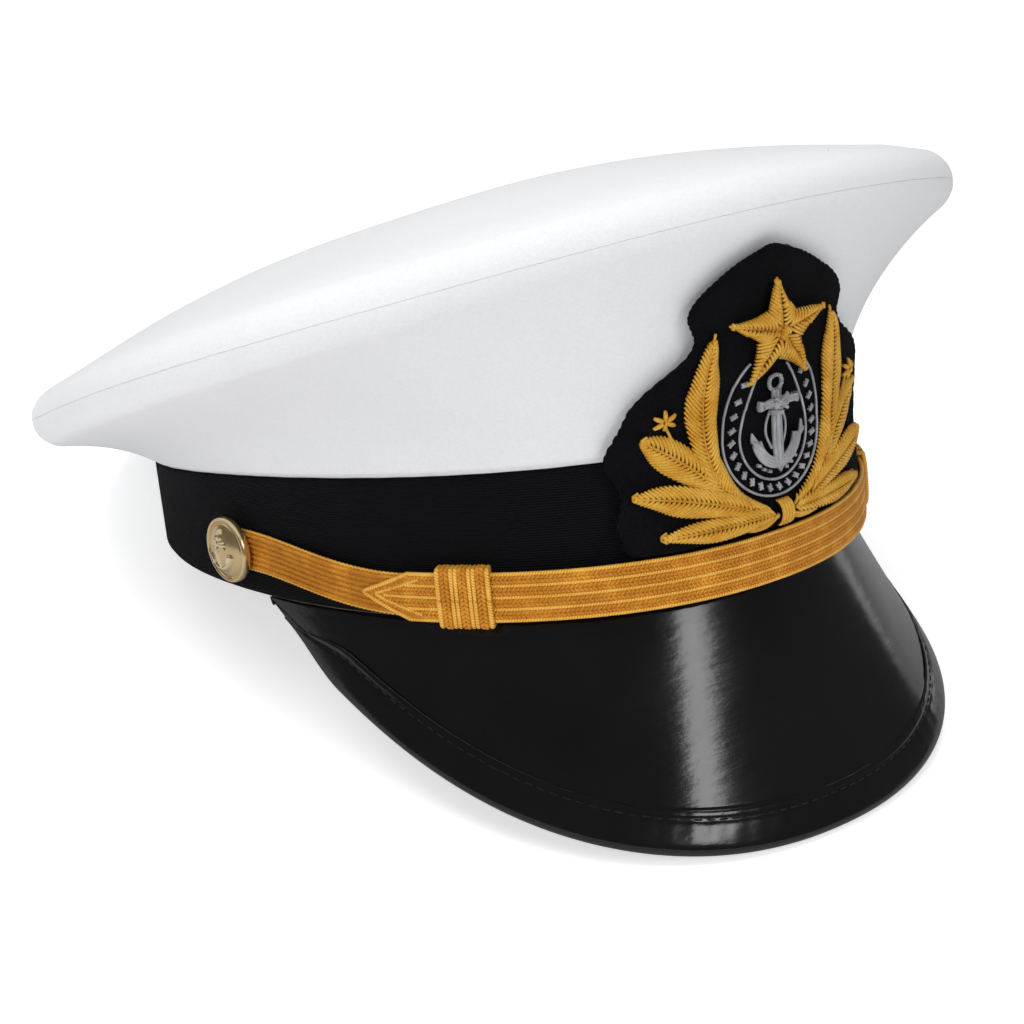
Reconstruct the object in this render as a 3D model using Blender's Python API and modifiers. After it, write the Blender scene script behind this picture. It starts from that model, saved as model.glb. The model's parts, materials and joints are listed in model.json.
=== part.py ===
"""Peaked cap, resting on its visor edge and the rear of its band. Metres, +Z up, front at -Y."""

import math

import bmesh
import bpy
from mathutils import Matrix, Vector

# ---- driving dimensions (metres, radians) ----
BAND_HALF_WIDTH = 0.0836        # outside of the band cloth, across the head
BAND_HALF_LENGTH = 0.1057       # outside of the band cloth, front to rear
BAND_SQUARENESS = 2.12          # 2 is a true ellipse
BAND_TAPER = 0.07               # how much narrower the front of the oval is
BAND_HEIGHT_SIDE = 0.0302
BAND_HEIGHT_FRONT = 0.0360
BAND_HEIGHT_REAR = 0.0166
COVER_THICK = 0.0010
CORE_THICK = 0.0016
SWEATBAND_THICK = 0.0012
SWEATBAND_INSET = 0.0052        # outer face of the sweatband, inwards from the band cloth

RIM_HALF_WIDTH = 0.1099         # centre line of the crown's rolled rim
RIM_HALF_LENGTH = 0.1285
RIM_SETBACK = 0.0163            # rim centre behind the band centre
RIM_SQUARENESS = 2.14
RIM_TAPER = -0.18               # the crown is broader at the front
RIM_HEIGHT = 0.0542             # mean height of the rim over the band's lower edge
RIM_PITCH = 0.0350              # front raised, rear lowered by this much
RIM_SADDLE = 0.0013             # sides lowered
ROLL_RADIUS = 0.0080
SEAM_ANGLE = 0.0                # top panel seam on the roll, over the horizontal
CROWN_DOME = 0.0195             # rise of the middle of the top panel over its rim
DOME_POWER = 2.3
CLOTH_THICK = 0.0010
PADDING_THICK = 0.0016
GROMMET_WIRE_RADIUS = 0.0012
FERRULE_LENGTH = 0.014
FERRULE_WALL = 0.0006
STAY_HALF_ANGLE = 0.10
LINING_THICK = 0.0008
LINING_TOP = 0.0640

VISOR_HALF_ANGLE = math.radians(85.5)
VISOR_ROOT = -0.0015            # the visor's inner edge, out from the band cloth
VISOR_DEPTH = 0.1189            # fore-and-aft size of the visor outline
VISOR_SLOPE = math.radians(25.7)  # pitch of the plane that holds the outline
VISOR_SIDE_POWER = 2.17
VISOR_TIP_POWER = 3.40
VISOR_SHELL_THICK = 0.0010
VISOR_CORE_THICK = 0.0012
VISOR_LINING_THICK = 0.0008
BINDING_RADIUS = 0.0021

STRAP_OVER_WIDTH = 0.0122
STRAP_UNDER_WIDTH = 0.0105
STRAP_UNDER_THICK = 0.0010
STRAP_OVER_THICK = 0.0012
STRAP_STANDOFF = 0.0015         # under strap clear of the band at the keepers
STRAP_HEIGHT_FRONT = STRAP_OVER_WIDTH / 2 + 0.0005  # middle line of the straps over the band's lower edge
STRAP_HEIGHT_BUTTON = 0.0122
STRAP_DROP_FROM = math.radians(58)  # the straps are level from the front to here
KEEPER_ANGLE = math.radians(49)
KEEPER_LENGTH = 0.0140
KEEPER_WALL = 0.0009
KEEPER_CLEARANCE = 0.00040
KEEPER_HEIGHT = STRAP_OVER_WIDTH + 2 * KEEPER_CLEARANCE + 0.0020
STRAP_TIP_ANGLE = math.radians(64)

BUTTON_ANGLE = math.radians(88.5)
BUTTON_RADIUS = 0.0085
BUTTON_RISE = 0.0046
SHANK_RADIUS = 0.0016
SHANK_CLEARANCE = 0.00006       # running fit of the shank in the band core
CLIP_RADIUS = 0.0045

BADGE_WIDTH = 0.078
BADGE_HEIGHT = 0.072
BADGE_OFFSET = 0.0030           # sewn on this far to the wearer's left of the middle
BADGE_BOTTOM = STRAP_HEIGHT_FRONT + STRAP_OVER_WIDTH / 2 + 0.0007  # clear of the strap, along the crown front
FELT_THICK = 0.0014
BACKING_THICK = 0.0010
MOTIF_THICK = 0.0012
GAP = 0.0004                    # air between pieces that touch
SEAM_GAP = 0.0007               # air between the sewn edges of the crown cloth
AROUND = 56                     # faces round the band and the crown


# ---- clear the scene ----
for old in list(bpy.data.objects):
    bpy.data.objects.remove(old, do_unlink=True)

pieces = bpy.data.collections.new("peaked_cap")
cutters = bpy.data.collections.new("cutters")
bpy.context.scene.collection.children.link(pieces)
bpy.context.scene.collection.children.link(cutters)
cutters.hide_render = True


def material(name, colour, roughness, metallic=0.0):
    made = bpy.data.materials.new(name)
    made.use_nodes = True
    shader = made.node_tree.nodes["Principled BSDF"]
    shader.inputs["Base Color"].default_value = (*colour, 1)
    shader.inputs["Roughness"].default_value = roughness
    shader.inputs["Metallic"].default_value = metallic
    made.diffuse_color = (*colour, 1)
    return made


WHITE_COTTON = material("white_cotton", (0.86, 0.87, 0.90), 0.8)
BLACK_MOHAIR = material("black_mohair", (0.012, 0.013, 0.018), 0.85)
BLACK_FELT = material("black_felt", (0.010, 0.010, 0.012), 0.95)
PATENT = material("patent_leather", (0.006, 0.006, 0.007), 0.08)
VISOR_LINING = material("visor_lining", (0.02, 0.025, 0.022), 0.6)
FIBRE = material("band_fibre", (0.10, 0.08, 0.06), 0.7)
SWEAT_LEATHER = material("sweat_leather", (0.16, 0.09, 0.05), 0.5)
SATIN = material("lining_satin", (0.55, 0.56, 0.58), 0.4)
FOAM = material("rim_foam", (0.80, 0.79, 0.74), 0.9)
STEEL = material("spring_steel", (0.55, 0.56, 0.58), 0.3, 1.0)
GOLD_BRAID = material("gold_braid", (0.83, 0.52, 0.13), 0.4, 0.6)
GOLD_BULLION = material("gold_bullion", (0.86, 0.58, 0.16), 0.3, 0.8)
SILVER_BULLION = material("silver_bullion", (0.55, 0.56, 0.60), 0.3, 0.8)
BRASS = material("brass", (0.88, 0.72, 0.38), 0.22, 1.0)

# The whole cap hangs on one empty, which pitches it to rest on a flat surface.
cap = bpy.data.objects.new("cap", None)
pieces.objects.link(cap)


def keep(obj, paint, parent=cap):
    """Puts a finished object in the collection with its material."""
    for holder in list(obj.users_collection):
        holder.objects.unlink(obj)
    pieces.objects.link(obj)
    obj.data.materials.clear()
    obj.data.materials.append(paint)
    obj.parent = parent
    obj.data.shade_smooth()
    obj.data.set_sharp_from_angle(angle=math.radians(40))
    return obj


def as_cutter(obj):
    for holder in list(obj.users_collection):
        holder.objects.unlink(obj)
    cutters.objects.link(obj)
    obj.hide_render = True
    obj.display_type = "WIRE"
    obj.parent = cap
    return obj


def cut(obj, cutter):
    boolean = obj.modifiers.new("cut", "BOOLEAN")
    boolean.operation = "DIFFERENCE"
    boolean.solver = "EXACT"
    boolean.object = cutter


def from_bmesh(name, bm):
    bmesh.ops.remove_doubles(bm, verts=bm.verts, dist=0.00001)
    bmesh.ops.recalc_face_normals(bm, faces=bm.faces)
    mesh = bpy.data.meshes.new(name)
    bm.to_mesh(mesh)
    bm.free()
    return bpy.data.objects.new(name, mesh)


# ---- the oval and the surfaces that follow it ----
def oval(t, a, b, power, taper):
    """Point of the oval at angle t: 0 is the front, positive towards the wearer's left (+X)."""
    s, c = math.sin(t), math.cos(t)
    r = (abs(s) ** power + abs(c) ** power) ** (-1 / power)
    return Vector((a * r * s * (1 - taper * c), -b * r * c, 0))


def on_band(t, out, z):
    """Point at angle t, this far outside the band cloth, and this high over its lower edge."""
    p = oval(t, BAND_HALF_WIDTH + out, BAND_HALF_LENGTH + out, BAND_SQUARENESS, BAND_TAPER)
    return Vector((p.x, p.y, z))


def band_normal(t):
    along = on_band(t + 0.001, 0, 0) - on_band(t - 0.001, 0, 0)
    return Vector((along.y, -along.x, 0)).normalized()


def band_top(t):
    mean = (BAND_HEIGHT_FRONT + BAND_HEIGHT_REAR) / 2
    saddle = (mean - BAND_HEIGHT_SIDE) / 2
    pitch = (BAND_HEIGHT_FRONT - BAND_HEIGHT_REAR) / 2
    return mean - saddle + pitch * math.cos(t) + saddle * math.cos(2 * t)


def rim(t):
    p = oval(t, RIM_HALF_WIDTH, RIM_HALF_LENGTH, RIM_SQUARENESS, RIM_TAPER)
    z = RIM_HEIGHT + RIM_PITCH * math.cos(t) + RIM_SADDLE * math.cos(2 * t)
    return Vector((p.x, p.y + RIM_SETBACK, z))


def rim_normal(t):
    along = rim(t + 0.001) - rim(t - 0.001)
    return Vector((along.y, -along.x, 0)).normalized()


def roll_point(t, angle, radius):
    return rim(t) + radius * (math.cos(angle) * rim_normal(t) + math.sin(angle) * Vector((0, 0, 1)))


def bezier(p0, p1, p2, p3, u):
    v = 1 - u
    return v * v * v * p0 + 3 * v * v * u * p1 + 3 * v * u * u * p2 + u * u * u * p3


def side_profile(t, inset=0.0, rows=6, arc_rows=4):
    """The crown cloth from the band's top edge to the seam on the roll, as points going up."""
    foot = on_band(t, -0.0002, band_top(t) + GAP)
    centre = rim(t)
    normal = rim_normal(t)
    up = Vector((0, 0, 1))
    across = (centre - foot).dot(normal)
    rise = centre.z - foot.z
    reach = math.hypot(across, rise)
    # the straight line that touches the outside of the roll from the foot
    chord = math.atan2(rise, across) - math.asin(min(0.95, ROLL_RADIUS / reach))
    end = chord - math.radians(16) * min(1.0, max(0.0, rise / 0.04))
    touch = end - math.pi / 2
    p3 = roll_point(t, touch, ROLL_RADIUS)
    ahead = (0.35 * across * normal + (rise - 0.8 * ROLL_RADIUS) * up).normalized()
    p1 = foot + 0.36 * reach * ahead
    p2 = p3 - 0.34 * reach * (math.cos(end) * normal + math.sin(end) * up)
    points = [bezier(foot, p1, p2, p3, i / rows) for i in range(rows)]
    stop = SEAM_ANGLE - 0.5 * SEAM_GAP / ROLL_RADIUS
    for i in range(arc_rows + 1):
        points.append(roll_point(t, touch + (stop - touch) * i / arc_rows, ROLL_RADIUS))
    if inset:
        moved = []
        for i, p in enumerate(points):
            d = points[min(i + 1, len(points) - 1)] - points[max(i - 1, 0)]
            flat, lift = d.dot(normal), d.z
            moved.append(p + inset * (Vector((0, 0, flat)) - lift * normal) / math.hypot(flat, lift))
        points = moved
    return points


def grid_shell(name, rows, thickness, paint, closed=False, inward=True):
    """A sheet through rows of points, thickened to one side."""
    bm = bmesh.new()
    verts = [[bm.verts.new(p) for p in row] for row in rows]
    count = len(rows)
    for i in range(count if closed else count - 1):
        here, there = verts[i], verts[(i + 1) % count]
        for j in range(len(here) - 1):
            bm.faces.new((here[j], there[j], there[j + 1], here[j + 1]))
    mesh = bpy.data.meshes.new(name)
    bm.to_mesh(mesh)
    bm.free()
    obj = bpy.data.objects.new(name, mesh)
    wall = obj.modifiers.new("wall", "SOLIDIFY")
    wall.thickness = thickness
    wall.offset = -1.0 if inward else 1.0
    wall.use_even_offset = True
    return keep(obj, paint)


def ring_angles(count=AROUND, start=-math.pi):
    return [start + 2 * math.pi * i / count for i in range(count)]


def spread(start, stop, count):
    return [start + (stop - start) * i / (count - 1) for i in range(count)]


# ---- band ----
def band_wall(name, out, thick, low, high, paint, steps=1):
    rows = []
    for t in ring_angles():
        rows.append([on_band(t, out, low(t) + (high(t) - low(t)) * k / steps) for k in range(steps + 1)])
    return grid_shell(name, rows, thick, paint, closed=True)


band_cover = band_wall("band_cover", 0, COVER_THICK, lambda t: 0.0005, band_top, BLACK_MOHAIR)
core_out = -(COVER_THICK + 0.0003)
band_core = band_wall("band_core", core_out, CORE_THICK, lambda t: 0.0, band_top, FIBRE)
sweatband = band_wall("sweatband", -SWEATBAND_INSET, SWEATBAND_THICK, lambda t: 0.0004,
                      lambda t: band_top(t) - 0.003, SWEAT_LEATHER)

# ---- crown ----
half = AROUND // 2
seam_half_gap = 0.5 * GAP / RIM_HALF_WIDTH
for side, first in (("left", seam_half_gap), ("right", -math.pi + seam_half_gap)):
    angles = spread(first, first + math.pi - 2 * seam_half_gap, half + 1)
    grid_shell("crown_side_" + side, [side_profile(t) for t in angles], CLOTH_THICK, WHITE_COTTON)


def top_profile(t, drop=0.0):
    """The top panel from its seam over the roll and up the dome, as points going inwards."""
    start = SEAM_ANGLE + 0.5 * SEAM_GAP / ROLL_RADIUS
    points = [roll_point(t, a, ROLL_RADIUS) for a in spread(start, math.radians(68), 4)]
    edge = rim(t)
    for s in (0.90, 0.75, 0.56, 0.32):
        z = RIM_HEIGHT + (edge.z - RIM_HEIGHT) * s + ROLL_RADIUS + CROWN_DOME * (1 - s ** DOME_POWER)
        points.append(Vector((edge.x * s, (edge.y - RIM_SETBACK) * s + RIM_SETBACK, z)))
    return points


def disc_shell(name, rows, centre, thickness, paint):
    bm = bmesh.new()
    verts = [[bm.verts.new(p) for p in row] for row in rows]
    hub = bm.verts.new(centre)
    count = len(rows)
    for i in range(count):
        here, there = verts[i], verts[(i + 1) % count]
        for j in range(len(here) - 1):
            bm.faces.new((here[j], there[j], there[j + 1], here[j + 1]))
        bm.faces.new((here[-1], there[-1], hub))
    mesh = bpy.data.meshes.new(name)
    bm.to_mesh(mesh)
    bm.free()
    obj = bpy.data.objects.new(name, mesh)
    wall = obj.modifiers.new("wall", "SOLIDIFY")
    wall.thickness = thickness
    wall.offset = -1.0
    wall.use_even_offset = True
    return keep(obj, paint)


top_centre = Vector((0, RIM_SETBACK, RIM_HEIGHT + ROLL_RADIUS + CROWN_DOME))
disc_shell("crown_top", [top_profile(t) for t in ring_angles()], top_centre, CLOTH_THICK, WHITE_COTTON)

padding_radius = ROLL_RADIUS - CLOTH_THICK - GAP
padding_rows = [[roll_point(t, a, padding_radius) for a in spread(math.radians(-80), math.radians(55), 6)]
                for t in ring_angles()]
grid_shell("rim_padding", padding_rows, PADDING_THICK, FOAM, closed=True)


def lining_profile(t):
    foot = on_band(t, core_out - CORE_THICK - GAP, band_top(t) - 0.0018)
    shoulder = band_top(t) + 0.004
    points = [foot]
    for s in (0.97, 0.87, 0.68, 0.38):
        z = LINING_TOP + (shoulder - LINING_TOP) * s ** 3.2
        points.append(Vector((foot.x * s, foot.y * s, z)))
    return points


disc_shell("crown_lining", [lining_profile(t) for t in ring_angles()], Vector((0, 0, LINING_TOP)),
           LINING_THICK, SATIN)

# front stay: a springy plate behind the crown front, from the band up into the roll
stay_rows = []
for t in spread(-STAY_HALF_ANGLE, STAY_HALF_ANGLE, 5):
    stay_rows.append(side_profile(t, inset=CLOTH_THICK + GAP)[:6])
grid_shell("front_stay", stay_rows, 0.0009, FIBRE)


# ---- wires, as curves ----
def wire(name, points, radius, paint, closed=False, sides=2):
    curve = bpy.data.curves.new(name, "CURVE")
    curve.dimensions = "3D"
    spline = curve.splines.new("POLY")
    spline.points.add(len(points) - 1)
    for slot, p in zip(spline.points, points):
        slot.co = (*p, 1)
    spline.use_cyclic_u = closed
    curve.bevel_depth = radius
    curve.bevel_resolution = sides
    curve.use_fill_caps = not closed
    obj = bpy.data.objects.new(name, curve)
    pieces.objects.link(obj)
    curve.materials.append(paint)
    obj.parent = cap
    return obj


def as_mesh(obj):
    """The curve object as a mesh object with its caps welded on."""
    bpy.context.view_layer.update()
    graph = bpy.context.evaluated_depsgraph_get()
    mesh = bpy.data.meshes.new_from_object(obj.evaluated_get(graph))
    bm = bmesh.new()
    bm.from_mesh(mesh)
    bmesh.ops.remove_doubles(bm, verts=bm.verts, dist=0.00001)
    bmesh.ops.recalc_face_normals(bm, faces=bm.faces)
    bm.to_mesh(mesh)
    bm.free()
    name, paint = obj.name, obj.data.materials[0]
    bpy.data.objects.remove(obj, do_unlink=True)
    made = bpy.data.objects.new(name, mesh)
    mesh.name = name
    pieces.objects.link(made)
    return keep(made, paint)


wire_radius = padding_radius - PADDING_THICK - GROMMET_WIRE_RADIUS - FERRULE_WALL - 2 * GAP
wire_gap = 0.0009 / RIM_HALF_LENGTH
grommet_points = [roll_point(t, 0, wire_radius)
                  for t in spread(-math.pi + wire_gap, math.pi - wire_gap, AROUND + 1)]
as_mesh(wire("grommet_wire", grommet_points, GROMMET_WIRE_RADIUS, STEEL, sides=1))

ferrule_half = FERRULE_LENGTH / 2 / RIM_HALF_LENGTH
ferrule_points = [roll_point(math.pi + t, 0, wire_radius) for t in spread(-ferrule_half, ferrule_half, 5)]
ferrule = as_mesh(wire("grommet_ferrule", ferrule_points, GROMMET_WIRE_RADIUS + GAP + FERRULE_WALL, STEEL))
bore_points = [roll_point(math.pi + t, 0, wire_radius) for t in spread(-1.3 * ferrule_half, 1.3 * ferrule_half, 7)]
bore = as_mesh(wire("ferrule_bore", bore_points, GROMMET_WIRE_RADIUS + GAP, STEEL))
cut(ferrule, as_cutter(bore))

# ---- visor ----
corner = on_band(VISOR_HALF_ANGLE, VISOR_ROOT, -GAP)


def visor_outline(u):
    """Outer edge of the bound visor at u from -1 (right) to 1 (left)."""
    s, c = math.sin(u * math.pi / 2), math.cos(u * math.pi / 2)
    x = corner.x * math.copysign(abs(s) ** (2 / VISOR_SIDE_POWER), s)
    y = corner.y - VISOR_DEPTH * abs(c) ** (2 / VISOR_TIP_POWER)
    z = corner.z - (corner.y - y) * math.tan(VISOR_SLOPE)
    return Vector((x, y, z))


def visor_ruling(u):
    """(inner point, outer point of the boards) at u; the boards stop short of the binding."""
    inner = on_band(u * VISOR_HALF_ANGLE, VISOR_ROOT, -GAP)
    outer = visor_outline(u)
    run = outer - inner
    return inner, outer - run.normalized() * min(2.3 * BINDING_RADIUS, 0.6 * run.length)


VISOR_COLUMNS = 34
VISOR_ROWS = 3
visor_us = [0.985 * math.sin(math.pi / 2 * k) for k in spread(-1, 1, VISOR_COLUMNS + 1)]
visor_base = []
for u in visor_us:
    inner, outer = visor_ruling(u)
    visor_base.append([inner + (outer - inner) * k / VISOR_ROWS for k in range(VISOR_ROWS + 1)])


def offset_grid(grid, distance):
    """The grid moved along its own normals; positive is outwards, over the visor."""
    moved = []
    last = len(grid) - 1
    for i, row in enumerate(grid):
        out = []
        for j, p in enumerate(row):
            along = grid[min(i + 1, last)][j] - grid[max(i - 1, 0)][j]
            down = row[min(j + 1, len(row) - 1)] - row[max(j - 1, 0)]
            out.append(p + distance * down.cross(along).normalized())
        moved.append(out)
    return moved


def visor_sheet(name, depth, thick, paint):
    return grid_shell(name, offset_grid(visor_base, -depth), thick, paint, inward=False)


stack = VISOR_SHELL_THICK + 0.0003
visor_sheet("visor_shell", 0, VISOR_SHELL_THICK, PATENT)
visor_sheet("visor_core", stack, VISOR_CORE_THICK, FIBRE)
stack += VISOR_CORE_THICK + 0.0003
visor_sheet("visor_lining", stack, VISOR_LINING_THICK, VISOR_LINING)
stack += VISOR_LINING_THICK
middle = offset_grid(visor_base, -stack / 2)
binding_points = []
for i, row in enumerate(middle):
    along = (middle[min(i + 1, len(middle) - 1)][-1] - middle[max(i - 1, 0)][-1]).normalized()
    down = (row[-1] - row[-2]).normalized()
    away = (down - along * down.dot(along)).normalized()
    binding_points.append(row[-1] + away * (BINDING_RADIUS + GAP))
as_mesh(wire("visor_binding", binding_points, BINDING_RADIUS, PATENT))


# ---- swept strips round the band ----
def smooth(u):
    u = min(1.0, max(0.0, u))
    return u * u * (3 - 2 * u)


def strap_middle(t):
    drop = smooth((abs(t) - STRAP_DROP_FROM) / (BUTTON_ANGLE - STRAP_DROP_FROM - 0.05))
    return STRAP_HEIGHT_FRONT + (STRAP_HEIGHT_BUTTON - STRAP_HEIGHT_FRONT) * drop


def strap_close(t):
    """1 along the front, falling to 0 at the buttons, where the straps lie on the band."""
    return 1 - smooth((abs(t) - STRAP_TIP_ANGLE - 0.02) / (BUTTON_ANGLE - STRAP_TIP_ANGLE - 0.12))


def sweep(name, angles, section):
    """A closed strip whose section at each angle is four (out, z) corners."""
    bm = bmesh.new()
    loops = []
    for t in angles:
        loops.append([bm.verts.new(on_band(t, out, z)) for out, z in section(t)])
    for here, there in zip(loops, loops[1:]):
        for k in range(4):
            bm.faces.new((here[k], there[k], there[(k + 1) % 4], here[(k + 1) % 4]))
    bm.faces.new(loops[0][::-1])
    bm.faces.new(loops[-1])
    bmesh.ops.recalc_face_normals(bm, faces=bm.faces)
    mesh = bpy.data.meshes.new(name)
    bm.to_mesh(mesh)
    bm.free()
    return bpy.data.objects.new(name, mesh)


under_in = STRAP_STANDOFF
over_in = under_in + STRAP_UNDER_THICK + 0.0003
strap_out = over_in + STRAP_OVER_THICK


def under_section(t):
    z, half_width = strap_middle(t), STRAP_UNDER_WIDTH / 2
    # right side lies on the band at its button
    out = under_in if t > -STRAP_TIP_ANGLE else 0.0005 + (under_in - 0.0005) * strap_close(t)
    return ((out, z - half_width), (out + STRAP_UNDER_THICK, z - half_width),
            (out + STRAP_UNDER_THICK, z + half_width), (out, z + half_width))


def over_section(t):
    point = smooth((t + STRAP_TIP_ANGLE) / math.radians(6.5))
    z, half_width = strap_middle(t), STRAP_OVER_WIDTH / 2 * (0.08 + 0.92 * point)
    out = over_in if t < STRAP_TIP_ANGLE else 0.0005 + (over_in - 0.0005) * strap_close(t)
    return ((out, z - half_width), (out + STRAP_OVER_THICK, z - half_width),
            (out + STRAP_OVER_THICK, z + half_width), (out, z + half_width))


strap_overrun = 0.0075 / BAND_HALF_LENGTH
under_angles = spread(-BUTTON_ANGLE - strap_overrun, KEEPER_ANGLE + 0.16, 49)
over_angles = spread(-STRAP_TIP_ANGLE, BUTTON_ANGLE + strap_overrun, 53)
strap_under = keep(sweep("strap_under", under_angles, under_section), GOLD_BRAID)
strap_over = keep(sweep("strap_over", over_angles, over_section), GOLD_BRAID)


# ---- keepers, which slide along the straps ----
def keeper(side, sign):
    centre = sign * KEEPER_ANGLE
    half_angle = KEEPER_LENGTH / 2 / (on_band(centre + 0.5, 0, 0) - on_band(centre - 0.5, 0, 0)).length
    inner = (under_in - KEEPER_CLEARANCE, strap_out + KEEPER_CLEARANCE)
    outer = (inner[0] - KEEPER_WALL + 0.0002, inner[1] + KEEPER_WALL)
    z = strap_middle(centre) + 0.0001

    def box(span, height):
        return lambda t: ((span[0], z - height / 2), (span[1], z - height / 2),
                          (span[1], z + height / 2), (span[0], z + height / 2))

    body = sweep("keeper_" + side, spread(centre - half_angle, centre + half_angle, 7), box(outer, KEEPER_HEIGHT))
    keep(body, GOLD_BRAID)
    opening = STRAP_OVER_WIDTH + 2 * KEEPER_CLEARANCE
    slot = sweep("keeper_slot_" + side, spread(centre - 1.5 * half_angle, centre + 1.5 * half_angle, 10),
                 box(inner, opening))
    cut(body, as_cutter(slot))


keeper("right", -1)
keeper("left", 1)


# ---- buttons, which turn on their shanks ----
def turned(name, profile, paint, parent):
    """A solid of revolution: profile is (radius, height) from the top of the axis to its bottom."""
    bm = bmesh.new()
    verts = [bm.verts.new((r, 0, z)) for r, z in profile]
    for a, b in zip(verts, verts[1:]):
        bm.edges.new((a, b))
    mesh = bpy.data.meshes.new(name)
    bm.to_mesh(mesh)
    bm.free()
    obj = bpy.data.objects.new(name, mesh)
    screw = obj.modifiers.new("turn", "SCREW")
    screw.steps = screw.render_steps = 24
    screw.use_merge_vertices = True
    screw.merge_threshold = 0.00001
    screw.use_smooth_shade = True
    return keep(obj, paint, parent)


def cylinder(name, radius, bottom, top, parent, paint):
    """A rod or a disc along the parent's Z."""
    bm = bmesh.new()
    bmesh.ops.create_cone(bm, cap_ends=True, segments=24, radius1=radius, radius2=radius, depth=top - bottom,
                          matrix=Matrix.Translation((0, 0, (top + bottom) / 2)))
    mesh = bpy.data.meshes.new(name)
    bm.to_mesh(mesh)
    bm.free()
    return keep(bpy.data.objects.new(name, mesh), paint, parent)


def button(side, sign, strap, strap_thick):
    t = sign * BUTTON_ANGLE
    pivot = bpy.data.objects.new("button_pivot_" + side, None)
    pieces.objects.link(pivot)
    pivot.parent = cap
    pivot.location = on_band(t, 0, STRAP_HEIGHT_BUTTON)
    pivot.rotation_mode = "QUATERNION"
    pivot.rotation_quaternion = band_normal(t).to_track_quat("Z", "Y")
    back = 0.0005 + strap_thick + GAP + 0.0003
    lip, top = back + 0.0014, back + BUTTON_RISE
    profile = [(0, top)]
    for k in range(1, 6):
        r = 0.80 * BUTTON_RADIUS * k / 5
        profile.append((r, lip + (top - lip) * (1 - (k / 5.6) ** 2)))
    profile += [(0.86 * BUTTON_RADIUS, lip + 0.0003), (0.93 * BUTTON_RADIUS, lip + 0.0009),
                (0.985 * BUTTON_RADIUS, lip + 0.0005), (BUTTON_RADIUS, lip - 0.0004),
                (0.97 * BUTTON_RADIUS, back + 0.0001), (0.90 * BUTTON_RADIUS, back), (0, back)]
    turned("button_cap_" + side, profile, BRASS, pivot)
    core_in = core_out - CORE_THICK
    cylinder("button_shank_" + side, SHANK_RADIUS, core_in - 0.0017, back - GAP, pivot, BRASS)
    clip = cylinder("button_clip_" + side, CLIP_RADIUS, core_in - 0.0012, core_in - GAP, pivot, STEEL)
    bore_name = "clip_bore_" + side
    clip_bore = cylinder(bore_name, SHANK_RADIUS + 0.0003, -0.010, 0.010, pivot, STEEL)
    as_cutter(clip_bore)
    clip_bore.parent = pivot
    cut(clip, clip_bore)
    # a close hole in the stiff core, and looser ones in the cloth and the braid
    close = cylinder("core_hole_" + side, SHANK_RADIUS + SHANK_CLEARANCE, core_in - 0.0005,
                     core_out + 0.0002, pivot, STEEL)
    loose = cylinder("cloth_hole_" + side, SHANK_RADIUS + 0.0005, core_out + 0.0001, back - 0.0002, pivot, STEEL)
    for hole, walls in ((close, (band_core,)), (loose, (band_cover, strap))):
        as_cutter(hole)
        hole.parent = pivot
        for wall in walls:
            cut(wall, hole)


button("right", -1, strap_under, STRAP_UNDER_THICK)
button("left", 1, strap_over, STRAP_OVER_THICK)


# ---- badge, on the front of the band and the crown ----
def front_surface(x, height, out):
    """Point on the crown front, x across and this high along it, standing out by this much."""
    x += BADGE_OFFSET
    t = x / BAND_HALF_WIDTH
    for _ in range(4):
        profile = [on_band(t, 0.0, 0.0)] + side_profile(t, rows=8, arc_rows=5)
        left = height
        for a, b in zip(profile, profile[1:]):
            step = (b - a).length
            if left <= step:
                break
            left -= step
        p = a + (b - a) * left / step
        if abs(p.x) > 0.00001:
            t *= x / p.x
    normal = (band_normal(t) + rim_normal(t)).normalized()
    flat, lift = (b - a).dot(normal), (b - a).z
    outwards = (lift * normal - Vector((0, 0, flat))) / math.hypot(flat, lift)
    return p + out * outwards


def felt_half_width(v):
    """Half width of the felt at v from 0 (bottom) to 1 (top), with its wavy edge."""
    lower, upper = BADGE_WIDTH / 2, 0.29 * BADGE_WIDTH
    body = upper + (lower - upper) * (1 - smooth((v - 0.42) / 0.28))
    crest = max(0.0, 1 - max(0.0, (v - 0.74) / 0.26) ** 2.4)
    wave = 1 + 0.035 * math.cos(2 * math.pi * (4.2 * v - 0.35))
    return body * crest * wave * (0.93 + 0.07 * min(1.0, v / 0.2))


def patch(name, grow, out, thick, paint, columns=14, rows=16):
    """A sheet that follows the crown front inside the badge outline."""
    sheet = []
    for i in range(columns + 1):
        column = []
        for j in range(rows + 1):
            v = j / rows
            x = (2 * i / columns - 1) * max(0.0015, felt_half_width(v) + grow)
            y = BADGE_BOTTOM - grow + (BADGE_HEIGHT + 2 * grow) * v
            column.append(front_surface(x, y, out))
        sheet.append(column)
    return grid_shell(name, sheet, thick, paint, inward=False)


backing_out = 0.0007
felt_out = backing_out + BACKING_THICK + GAP
motif_out = felt_out + FELT_THICK + GAP
over_out = motif_out + MOTIF_THICK + GAP
patch("badge_backing", -0.003, backing_out, BACKING_THICK, FIBRE, 10, 10)
patch("badge_felt", 0, felt_out, FELT_THICK, BLACK_FELT, 14, 20)


def strip(name, spine, half_width, out, thick, paint, across=3):
    """A sheet along a spine of (x, height) points on the badge; half_width is a function of 0..1."""
    sheet = []
    last = len(spine) - 1
    for i, (x, y) in enumerate(spine):
        ax, ay = spine[max(i - 1, 0)]
        bx, by = spine[min(i + 1, last)]
        dx, dy = bx - ax, by - ay
        run = math.hypot(dx, dy)
        row = []
        for k in range(across):
            w = (2 * k / (across - 1) - 1) * half_width(i / last)
            row.append(front_surface(x - w * dy / run, y + w * dx / run, out))
        sheet.append(row)
    return grid_shell(name, sheet, thick, paint, inward=False)


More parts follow.
